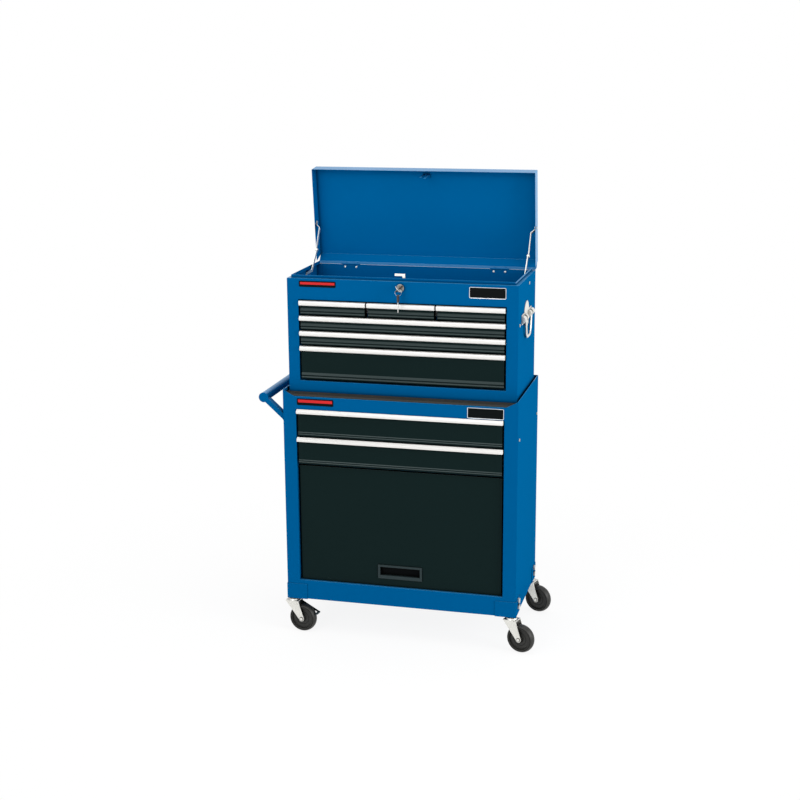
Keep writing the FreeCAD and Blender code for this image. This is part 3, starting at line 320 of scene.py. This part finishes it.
def metal_material(name, metal, dullness, cloud=0.25, stretch=(1, 1, 1), grain=0.01 * MM, metallic=1.0,
                   radius=0.4 * MM, gap=12 * MM):
    """A plated or bare metal surface. stretch draws its grain out along an axis where it is under 1."""
    material, tree, shader = new_material(name)
    folds = add_effect(tree, FOLD_MASK, Radius=radius)
    effect = add_effect(tree, PLATED_METAL, Metal=metal, Cloud=cloud, Dullness=dullness, Stretch=stretch,
                        Gap=gap)
    feed(tree, shader, Metallic=metallic)
    finish_surface(tree, shader, effect, grain, folds)
    return material


BLUE_TINT = (0.0, 0.85, 1.0, 1.0)
# Above this height the blue paint at the right end gets a painted reflection of the white room
CHEST_RIM = 956 * MM
# Each paint turns toward its highlight colour: a painted reflection where it faces up, a painted highlight
# on its folds
BLUE = paint_material("blue_powder_coat", shade(0, 83, 136), 0.36, highlight=shade(70, 155, 208),
                      fold_highlight=0.75, sky_amount=0.4, sky_from=0.6, sky_to=0.97, rim_from=CHEST_RIM,
                      coat=True, level=0.0, metallic=0.1, tint=BLUE_TINT, radius=1.2 * MM)
# The lid's inside takes a lighter copy of the blue paint as painted light, with brighter painted highlights
# on its folds
BLUE_LID_PAINTED_LIGHT = paint_material("blue_coat_painted_light_lid", shade(0, 91, 147), 0.34, highlight=shade(130, 195, 235),
                          fold_highlight=0.9, sky_from=0.8, sky_to=0.97, rim_from=CHEST_RIM, coat=True,
                          level=0.0, tint=BLUE_TINT, drift=0.16, radius=1.8 * MM)
# The black paint's painted reflection and painted highlights light the drawer fronts' ridges that face up
BLACK = paint_material("black_drawer_paint", shade(14, 29, 29), 0.34, highlight=shade(96, 108, 108),
                       fold_highlight=0.6, sky_amount=0.42, sky_from=0.1, sky_to=0.45, level=0.03, gap=16 * MM)
RAIL = metal_material("bright_pull_rail", shade(230, 229, 226), 0.3, cloud=0.05, stretch=(0.02, 1, 1),
                      metallic=0.25, gap=4 * MM)
ZINC = metal_material("zinc_plate", shade(222, 221, 215), 0.3, metallic=0.7, gap=14 * MM)
# The slides deep in the drawer gaps take a darker copy of the zinc as painted shade, with a far-reaching gap
# shade
SLIDE_ZINC_PAINTED_SHADE = metal_material("zinc_painted_shade_for_slides", shade(150, 152, 152), 0.4, metallic=0.7, gap=50 * MM)
KEY_METAL = metal_material("nickel_key", shade(214, 214, 212), 0.22, gap=2 * MM)
# Dark bronze is the keys' own colour, and also serves as the painted shade round the axle ends
KEY_BRONZE_AND_AXLE_SHADE = metal_material("bronzed_key_and_axle_shade", shade(72, 62, 54), 0.3, metallic=0.6, gap=2 * MM)
CHROME = metal_material("chrome_lock", shade(172, 169, 164), 0.1, cloud=0.08, gap=3 * MM)
WHEEL = paint_material("black_wheel", shade(30, 30, 27), 0.45, peel=0.05 * MM, level=0.4)
# Painted shade for grooves and recesses
GROOVE_SHADE = paint_material("wheel_groove", shade(14, 14, 13), 0.6, peel=0.05 * MM)
PLASTIC = paint_material("black_plastic", shade(38, 50, 52), 0.42, peel=0.05 * MM, level=0.15, gap=26 * MM)
MAT = paint_material("rubber_mat", shade(56, 55, 52), 0.75, drift=0.2, peel=0.1 * MM, gap=3 * MM)
PLATE_RIM = metal_material("plate_rim", shade(225, 228, 232), 0.25, cloud=0.08, metallic=0.5, gap=2 * MM)
PLATE_FIELD = paint_material("plate_field", shade(8, 12, 13), 0.3, level=0.05)
PLATE_BAND = paint_material("plate_band", shade(196, 38, 40), 0.35)
PULL_RECESS_SHADE = paint_material("pull_recess_shade", shade(9, 11, 12), 0.6, level=0.02)

FINISH = {"blue_paint": BLUE, "black_paint": BLACK, "bright_rail": RAIL, "zinc_steel": ZINC,
          "wheel_black": WHEEL, "black_plastic": PLASTIC, "mat_rubber": MAT, "chrome_lock": CHROME,
          "key_steel": KEY_METAL}
OWN_FINISH = {"lid": BLUE_LID_PAINTED_LIGHT, "slide_rails": SLIDE_ZINC_PAINTED_SHADE, "chest_hinge_leaves": BLUE}


def finish_cad_nodes():
    """Gives every CAD node the finish of its material slot, or its own where it has one."""
    for part in frame["record"]["subparts"]:
        piece = frame["nodes"][part["node"]]
        piece.data.materials.clear()
        piece.data.materials.append(OWN_FINISH.get(part["node"]) or FINISH[part["material_slot"]])


finish_cad_nodes()


# Making pieces

def new_piece(name, shape, body, *materials):
    """Turns a bmesh into an object of the given materials that rides a body."""
    bmesh.ops.recalc_face_normals(shape, faces=shape.faces)
    data = bpy.data.meshes.new(name)
    shape.to_mesh(data)
    shape.free()
    for material in materials:
        data.materials.append(material)
    piece = bpy.data.objects.new(name, data)
    bpy.context.scene.collection.objects.link(piece)
    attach(piece, body)
    return piece


def add_block(shape, low, high, material=0, bevel=0.0, segments=2):
    """Adds a box between two corners, with its edges rounded if bevel is given."""
    low, high = Vector(low), Vector(high)
    place = Matrix.Translation((low + high) / 2) @ Matrix.Diagonal((*(high - low), 1))
    verts = bmesh.ops.create_cube(shape, size=1.0, matrix=place)["verts"]
    for face in {face for vert in verts for face in vert.link_faces}:
        face.material_index = material
    if bevel:
        edges = list({edge for vert in verts for edge in vert.link_edges})
        bmesh.ops.bevel(shape, geom=edges, offset=bevel, segments=segments, profile=0.5, affect="EDGES",
                        material=-1)


def spin_line(shape, points, closed, place, steps):
    """Spins a line of (radius, height) points about Z and moves it to its place. Gives the new faces."""
    verts = [shape.verts.new((radius, 0, height)) for radius, height in points]
    nexts = verts[1:] + verts[:1] if closed else verts[1:]
    edges = [shape.edges.new(pair) for pair in zip(verts, nexts)]
    before = set(shape.faces)
    bmesh.ops.spin(shape, geom=verts + edges, cent=(0, 0, 0), axis=(0, 0, 1), angle=2 * math.pi, steps=steps,
                   use_merge=True)
    made = [face for face in shape.faces if face not in before]
    bmesh.ops.transform(shape, matrix=place, verts=list({vert for face in made for vert in face.verts}))
    return made


def add_turned(shape, section, place, steps=48):
    """Adds a ring with a closed section of (radius, height) points."""
    spin_line(shape, section, True, place, steps)


def add_band(shape, inner, outer, low, high, place, steps=48):
    """Adds a ring with a rectangular section."""
    add_turned(shape, [(inner, low), (outer, low), (outer, high), (inner, high)], place, steps)


def add_dome(shape, radius, rise, place, rings=4, steps=20):
    """Adds a low rounded head that stands on its place and points along its Z."""
    angles = [math.pi / 2 * i / rings for i in range(rings)]
    arc = [(radius * math.cos(angle), rise * math.sin(angle)) for angle in angles]
    made = spin_line(shape, arc, False, place, steps)
    rims = [edge for face in made for edge in face.edges if edge.is_boundary]
    bmesh.ops.holes_fill(shape, edges=rims, sides=0)


def add_flat(shape, outline, x0, x1, y):
    """Adds a flat piece: an outline of (y, z) points round y, from x0 to x1."""
    face = shape.faces.new([shape.verts.new((x0, y + dy, z)) for dy, z in outline])
    made = bmesh.ops.extrude_face_region(shape, geom=[face])
    verts = [item for item in made["geom"] if isinstance(item, bmesh.types.BMVert)]
    bmesh.ops.translate(shape, vec=(x1 - x0, 0, 0), verts=verts)


def looking(direction, place):
    """The matrix that puts a shape built along +Z at a place, pointing in a direction."""
    return Matrix.Translation(place) @ Vector(direction).to_track_quat("Z", "Y").to_matrix().to_4x4()


def joint_place(body):
    """Where the joint that moves a body stands."""
    return Vector(next(joint["pos_m"] for joint in frame["joints"] if joint["child"] == body))


# The rubber mat's ribs, on the strips that the chest leaves free

RIB_PITCH = 3.0 * MM
RIB_W = 1.4 * MM
RIB_H = 0.5 * MM
RIB_SUNK = 0.2 * MM
RIB_ROUND = RIB_H / 3
RIB_END = 1.0 * MM


def mat_ribs():
    """Low ribs across the mat, in front of the chest and behind it."""
    shape = bmesh.new()
    low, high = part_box("top_mat")
    chest_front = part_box("chest_front_frame")[0].y
    chest_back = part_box("chest_back")[1].y
    for y0, y1 in ((low.y, chest_front), (chest_back, high.y)):
        for i in range(int((y1 - y0) / RIB_PITCH)):
            y = y0 + (i + 0.5) * RIB_PITCH
            add_block(shape, (low.x + RIB_END, y - RIB_W / 2, high.z - RIB_SUNK),
                      (high.x - RIB_END, y + RIB_W / 2, high.z + RIB_H), bevel=RIB_ROUND, segments=1)
    new_piece("mat_ribs", shape, "cabinet", MAT)


# Name plates, left bare

PLATE_T = 0.8 * MM
PLATE_CORNER = 2.5 * MM
PLATE_BORDER = 1.3 * MM
PLATE_DEPTH = 0.3 * MM
BAND_T = 0.1 * MM
BAND_MARGIN = 3.0 * MM
# How far up a plate its band starts, as a share of the plate's height
BAND_LOW = 0.4

# Each row is a plate: its name, its left and right ends, its bottom and top, and the node it sits on.
BORDERED_PLATES = (
    ("name_plate_chest_right", 176.0 * MM, 269.0 * MM, 917.7 * MM, 945.8 * MM, "chest_front_frame"),
    ("name_plate_base_right", 179.0 * MM, 272.0 * MM, 618.3 * MM, 646.0 * MM, "cabinet_front_frame"))
BANDED_PLATES = (
    ("name_plate_chest_left", -267.5 * MM, -170.0 * MM, 931.0 * MM, 946.4 * MM, "chest_front_frame"),
    ("name_plate_base_left", -270.0 * MM, -172.0 * MM, 627.5 * MM, 645.0 * MM, "cabinet_front_frame"))


def plate_body(x0, x1, z0, z1, face, border):
    """A plate with rounded corners on a face, its field set back inside a border."""
    shape = bmesh.new()
    add_block(shape, (x0, face - PLATE_T, z0), (x1, face, z1))
    corners = [edge for edge in shape.edges if abs(edge.verts[0].co.y - edge.verts[1].co.y) > PLATE_T / 2]
    bmesh.ops.bevel(shape, geom=corners, offset=PLATE_CORNER, segments=4, profile=0.5, affect="EDGES",
                    material=-1)
    front = min(shape.faces, key=lambda side: side.calc_center_median().y)
    bmesh.ops.inset_individual(shape, faces=[front], thickness=border, depth=-PLATE_DEPTH)
    front.material_index = 1
    return shape


def bordered_plate(name, x0, x1, z0, z1, node):
    """A black field in a thin bright border."""
    shape = plate_body(x0, x1, z0, z1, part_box(node)[0].y, PLATE_BORDER)
    new_piece(name, shape, "cabinet", PLATE_RIM, PLATE_FIELD)


def banded_plate(name, x0, x1, z0, z1, node):
    """A black strip with a plain red band."""
    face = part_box(node)[0].y
    shape = plate_body(x0, x1, z0, z1, face, PLATE_DEPTH)
    field = face - PLATE_T + PLATE_DEPTH
    add_block(shape, (x0 + BAND_MARGIN, field - BAND_T, z0 + BAND_LOW * (z1 - z0)),
              (x1 - BAND_MARGIN, field + BAND_T, z1 - BAND_MARGIN), material=2)
    new_piece(name, shape, "cabinet", PLATE_FIELD, PLATE_FIELD, PLATE_BAND)


# Keys and lock

LOCK_Z = joint_place("lock").z
LOCK_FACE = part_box("lock_barrel")[0].y
BEZEL_IN = 8.4 * MM
BEZEL_OUT = 10.0 * MM
BEZEL_RISE = 0.7 * MM
KEY_TURN = math.radians(-45)
BOW_R = 11.5 * MM
BOW_T = 1.6 * MM
BOW_BORDER = 1.8 * MM
BOW_RISE = 0.5 * MM
BOW_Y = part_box("key")[0].y + BOW_R

RING_Y = joint_place("spare_key").y
COIL_R = 8.2 * MM
COIL_WIRE = 0.3 * MM
COIL_STEP = 0.6 * MM
WIRE_SIDES = 10
COIL_SIDES = 56
SPARE_BOW_TOP = 923.5 * MM
SPARE_BOW_LOW = 905.0 * MM
SPARE_BOW_HALF_T = 2.0 * MM
SPARE_BOW_HALF_W = 7.0 * MM
SPARE_BOW_ROUND = 1.6 * MM
SPARE_BLADE_LOW = 879.0 * MM
SPARE_BLADE_HALF_T = 1.0 * MM
SPARE_BLADE_HALF_W = 2.6 * MM
NOTCHES = 5
NOTCH_DEPTH = 1.5 * MM


def lock_bezel():
    """A rounded bright rim round the barrel's face."""
    shape = bmesh.new()
    middle = (BEZEL_IN + BEZEL_OUT) / 2
    section = [(BEZEL_IN, 0), (BEZEL_OUT, 0), (BEZEL_OUT, BEZEL_RISE / 2), (middle, BEZEL_RISE),
               (BEZEL_IN, BEZEL_RISE / 2)]
    add_turned(shape, section, looking((0, -1, 0), (0, LOCK_FACE, LOCK_Z)))
    new_piece("lock_bezel", shape, "lock", CHROME)


def key_bow_rim():
    """The raised border on both faces of the bow of the key in the lock."""
    shape = bmesh.new()
    half = BOW_T / 2 + BOW_RISE
    centre = Matrix.Translation((0, 0, LOCK_Z)) @ Matrix.Rotation(-KEY_TURN, 4, "Y")
    flat = Matrix.Translation((0, BOW_Y, 0)) @ Matrix.Rotation(math.pi / 2, 4, "Y")
    add_band(shape, BOW_R - BOW_BORDER, BOW_R, -half, half, centre @ flat)
    new_piece("key_bow_rim", shape, "lock", KEY_BRONZE_AND_AXLE_SHADE)


def spare_key():
    """Two coils of a split ring, and a key with a dark cap on its bow and a notched blade."""
    shape = bmesh.new()
    centre = (0, RING_Y, LOCK_Z - COIL_R)
    wire = [(COIL_R + COIL_WIRE * math.cos(a), COIL_WIRE * math.sin(a))
            for a in (2 * math.pi * k / WIRE_SIDES for k in range(WIRE_SIDES))]
    for side in (-1, 1):
        offset = Matrix.Translation((0, 0, side * COIL_STEP / 2))
        add_turned(shape, wire, looking((0, -1, 0), centre) @ offset, COIL_SIDES)
    add_block(shape, (-SPARE_BOW_HALF_T, RING_Y - SPARE_BOW_HALF_W, SPARE_BOW_LOW),
              (SPARE_BOW_HALF_T, RING_Y + SPARE_BOW_HALF_W, SPARE_BOW_TOP), material=1,
              bevel=SPARE_BOW_ROUND, segments=3)
    # The blade: down its straight back to its point, and up its notched edge
    pitch = (SPARE_BOW_LOW - SPARE_BLADE_LOW) / (2 * NOTCHES + 2)
    outline = [(-SPARE_BLADE_HALF_W, SPARE_BOW_LOW + pitch), (-SPARE_BLADE_HALF_W, SPARE_BLADE_LOW),
               (0, SPARE_BLADE_LOW - pitch / 2)]
    for i in range(2 * NOTCHES + 1):
        depth = NOTCH_DEPTH if i % 2 else 0
        outline.append((SPARE_BLADE_HALF_W - depth, SPARE_BLADE_LOW + i * pitch))
    outline.append((SPARE_BLADE_HALF_W, SPARE_BOW_LOW + pitch))
    add_flat(shape, outline, -SPARE_BLADE_HALF_T, SPARE_BLADE_HALF_T, RING_Y)
    piece = new_piece("spare_key_on_ring", shape, "spare_key", KEY_METAL, KEY_BRONZE_AND_AXLE_SHADE)
    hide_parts("spare_key")


# Screws and rivets

SCREW_DOME_R = 3.92 * MM
SCREW_RISE = 0.8 * MM
CROSS_L = 2.2 * MM
CROSS_W = 0.7 * MM
CROSS_SUNK = 0.3 * MM
CROSS_PROUD = 0.05 * MM
# Each row is a screw on both sides: how far out its top is on the right and on the left, its y and its z.
SCREWS = ((310.0 * MM, 312.0 * MM, -137.0 * MM, 564.0 * MM),
          (310.0 * MM, 312.0 * MM, 137.0 * MM, 564.0 * MM),
          (302.0 * MM, 302.0 * MM, -106.0 * MM, 850.0 * MM))

RIVET_R = 3.0 * MM
RIVET_RISE = 1.2 * MM
HANDLE_PLATE_T = 1.5 * MM
# Places of the rivets on a side handle's plate, as (y, z) from the handle's axis
HANDLE_RIVETS = ((0, 31.0 * MM), (0, -25.0 * MM), (-64.5 * MM, 0), (64.5 * MM, 0))
HINGE_RIVET_XS = (188.5 * MM, 219.5 * MM)
HINGE_RIVET_Z = 945.2 * MM
HINGE_RIVET_RISE = 1.56 * MM


def screw_heads():
    """Domed tops for the pan-head screws of both sides, each with a dark cross of painted shade for its
    cross recess.
    """
    shape = bmesh.new()
    for right, left, y, z in SCREWS:
        for side, reach in ((1, right), (-1, left)):
            spot = Vector((side * reach, y, z))
            add_dome(shape, SCREW_DOME_R, SCREW_RISE, looking((side, 0, 0), spot))
            top = spot.x + side * SCREW_RISE
            ends = sorted((top - side * CROSS_SUNK, top + side * CROSS_PROUD))
            for half_y, half_z in ((CROSS_L, CROSS_W / 2), (CROSS_W / 2, CROSS_L)):
                add_block(shape, (ends[0], y - half_y, z - half_z), (ends[1], y + half_y, z + half_z),
                          material=1)
    new_piece("screw_heads", shape, "cabinet", ZINC, GROOVE_SHADE)


def handle_rivets():
    """The rivets of both side handles' plates."""
    shape = bmesh.new()
    plate_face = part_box("chest_side_right")[1].x + HANDLE_PLATE_T
    axis = joint_place("bail_right")
    for side in (-1, 1):
        for dy, dz in HANDLE_RIVETS:
            spot = (side * plate_face, axis.y + dy, axis.z + dz)
            add_dome(shape, RIVET_R, RIVET_RISE, looking((side, 0, 0), spot))
    new_piece("handle_rivets", shape, "cabinet", ZINC)


def hinge_rivets():
    """The bright heads of the hinge rivets on the inside of the chest's back."""
    shape = bmesh.new()
    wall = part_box("chest_back")[0].y
    for side in (-1, 1):
        for x in HINGE_RIVET_XS:
            add_dome(shape, RIVET_R, HINGE_RIVET_RISE, looking((0, -1, 0), (side * x, wall, HINGE_RIVET_Z)))
    new_piece("hinge_rivets", shape, "cabinet", ZINC)


# The painted shade inside the door's pull

PULL_RIM = 4.0 * MM
PULL_WALL = 2.0 * MM
SHADE_SHEET_T = 0.3 * MM
SHADE_SHEET_BACK = 2.4 * MM
SHADE_SHEET_LOW = 9.2 * MM


def door_pull_recess_shade():
    """A dark sheet of painted shade on the bottom of the dished door pull."""
    shape = bmesh.new()
    low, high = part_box("door_pull")
    inset = PULL_RIM + PULL_WALL
    back = high.y - SHADE_SHEET_BACK
    add_block(shape, (low.x + inset, back, low.z + SHADE_SHEET_LOW),
              (high.x - inset, back + SHADE_SHEET_T, high.z - inset))
    new_piece("door_pull_recess_shade", shape, "door", PULL_RECESS_SHADE)


# Dark rings of painted shade where the wheels have grooves

# Each row is a ring: its inner and outer radius, and how far its face is from the wheel's middle.
WHEEL_SHADE_RINGS = ((31.0 * MM, 32.2 * MM, 11.0 * MM), (17.0 * MM, 18.0 * MM, 6.0 * MM))
WHEEL_SHADE_RISE = 0.15 * MM


def wheel_groove_shade(joint):
    """Two dark rings of painted groove shade on each side of a wheel, one on its shoulder and one on its
    web.
    """
    shape = bmesh.new()
    place = looking(joint["axis"], joint["pos_m"])
    for inner, outer, face in WHEEL_SHADE_RINGS:
        for side in (-1, 1):
            add_band(shape, inner, outer, side * (face - WHEEL_SHADE_RISE), side * (face + WHEEL_SHADE_RISE),
                     place, steps=64)
    new_piece(joint["child"] + "_groove_shade", shape, joint["child"], GROOVE_SHADE)


# Dark rings of painted shade round the axle's ends on the forks

AXLE_SHADE_IN = 4.1 * MM
AXLE_SHADE_OUT = 5.4 * MM
AXLE_SHADE_RISE = 0.5 * MM
FORK_HALF_W = 15.0 * MM


def axle_end_shade(joint):
    """A dark ring of painted shade round each end of a wheel's axle, on the outside of the fork that carries
    the wheel.
    """
    shape = bmesh.new()
    place = looking(joint["axis"], joint["pos_m"])
    for side in (-1, 1):
        add_band(shape, AXLE_SHADE_IN, AXLE_SHADE_OUT, side * FORK_HALF_W, side * (FORK_HALF_W + AXLE_SHADE_RISE),
                 place, steps=32)
    new_piece(joint["child"] + "_axle_end_shade", shape, joint["parent"], KEY_BRONZE_AND_AXLE_SHADE)


mat_ribs()
for plate in BORDERED_PLATES:
    bordered_plate(*plate)
for plate in BANDED_PLATES:
    banded_plate(*plate)
lock_bezel()
key_bow_rim()
spare_key()
screw_heads()
handle_rivets()
hinge_rivets()
door_pull_recess_shade()
for joint in frame["joints"]:
    if joint["child"].startswith("wheel_"):
        wheel_groove_shade(joint)
        axle_end_shade(joint)


# Camera, as it stood for the photograph

VIEW_AZIMUTH = math.radians(14.48)
VIEW_ELEVATION = math.radians(14.0)
VIEW_ROLL = math.radians(-0.40)
VIEW_DISTANCE = 3.695
VIEW_TARGET = Vector((0.0049, -0.155, 0.6554))
LENS = 65.646
SENSOR = 36.0


def add_camera():
    """Places the camera at its distance from the target and turns it to look there."""
    back = Vector((math.sin(VIEW_AZIMUTH) * math.cos(VIEW_ELEVATION),
                   -math.cos(VIEW_AZIMUTH) * math.cos(VIEW_ELEVATION), math.sin(VIEW_ELEVATION)))
    level = Vector((math.cos(VIEW_AZIMUTH), math.sin(VIEW_AZIMUTH), 0))
    upright = back.cross(level)
    right = level * math.cos(VIEW_ROLL) + upright * math.sin(VIEW_ROLL)
    up = upright * math.cos(VIEW_ROLL) - level * math.sin(VIEW_ROLL)
    data = bpy.data.cameras.new("camera")
    data.lens = LENS
    data.sensor_width = SENSOR
    data.sensor_fit = "HORIZONTAL"
    camera = bpy.data.objects.new("camera", data)
    turn = Matrix((right, up, back)).transposed().to_4x4()
    camera.matrix_world = Matrix.Translation(VIEW_TARGET + back * VIEW_DISTANCE) @ turn
    bpy.context.scene.collection.objects.link(camera)
    bpy.context.scene.camera = camera


# Light

def add_lamp(name, place, aim, width, height, power):
    """A rectangular lamp that points from its place to its aim. Its power is in watts."""
    data = bpy.data.lights.new(name, "AREA")
    data.shape = "RECTANGLE"
    data.size = width
    data.size_y = height
    data.energy = power
    lamp = bpy.data.objects.new(name, data)
    lamp.location = place
    lamp.rotation_euler = (Vector(aim) - Vector(place)).to_track_quat("-Z", "Y").to_euler()
    bpy.context.scene.collection.objects.link(lamp)


def seen_directly(tree):
    """1 for rays that reach the camera straight, by reflection or through glass, as a shader factor."""
    path = add_node(tree, "ShaderNodeLightPath")
    straight = calculate(tree, "MAXIMUM", path.outputs["Is Camera Ray"], path.outputs["Is Glossy Ray"])
    return calculate(tree, "MAXIMUM", straight, path.outputs["Is Transmission Ray"])


WORLD_LIGHT = 0.6


def white_world():
    """A room that is white where it is seen, and lights the object with a part of that."""
    world = bpy.data.worlds.new("white")
    world.use_nodes = True
    tree = world.node_tree
    strength = ramp(tree, seen_directly(tree), 0.0, 1.0, WORLD_LIGHT, 1.0)
    feed(tree, tree.nodes["Background"], Color=(1, 1, 1, 1), Strength=strength)
    bpy.context.scene.world = world


FLOOR_HALF = 12.0
FLOOR_COLOUR = (0.93, 0.93, 0.93, 1)
FLOOR_WHITE_NEAR = 0.88
FLOOR_FADE_FROM = 0.35
FLOOR_FADE_TO = 1.3


def add_floor():
    """A white floor that keeps the object's own shadow and runs out into the white behind it."""
    shape = bmesh.new()
    bmesh.ops.create_grid(shape, x_segments=1, y_segments=1, size=FLOOR_HALF)
    data = bpy.data.meshes.new("studio_floor")
    shape.to_mesh(data)
    shape.free()
    floor = bpy.data.objects.new("studio_floor", data)
    bpy.context.scene.collection.objects.link(floor)
    material, tree, shader = new_material("white_floor")
    feed(tree, shader, Base_Color=FLOOR_COLOUR, Roughness=0.9, Specular_IOR_Level=0.0)
    place = add_node(tree, "ShaderNodeTexCoord").outputs["Object"]
    away = add_node(tree, "ShaderNodeVectorMath", "LENGTH", socket_0=place).outputs["Value"]
    fade = ramp(tree, away, FLOOR_FADE_FROM, FLOOR_FADE_TO, FLOOR_WHITE_NEAR, 1.0)
    glow = add_node(tree, "ShaderNodeEmission", Strength=1.0)
    mix = add_node(tree, "ShaderNodeMixShader", Fac=calculate(tree, "MULTIPLY", fade, seen_directly(tree)),
                   socket_1=shader.outputs["BSDF"], socket_2=glow.outputs["Emission"])
    feed(tree, tree.nodes["Material Output"], Surface=mix.outputs["Shader"])
    data.materials.append(material)


add_camera()
white_world()
add_floor()
add_lamp("key_right", place=(3.6, -0.9, 1.6), aim=(0, 0, 0.6), width=2.2, height=2.2, power=90)
add_lamp("fill_front", place=(-1.2, -3.6, 2.6), aim=(0, 0, 0.8), width=2.5, height=1.2, power=45)
add_lamp("lid_glow", place=(-0.95, -3.4, 1.15), aim=(0, 0, 1.0), width=0.9, height=0.5, power=10)
add_lamp("top_soft", place=(0, -0.5, 4.0), aim=(0, 0, 0.5), width=3.0, height=3.0, power=45)

bpy.context.scene.view_settings.view_transform = "Standard"
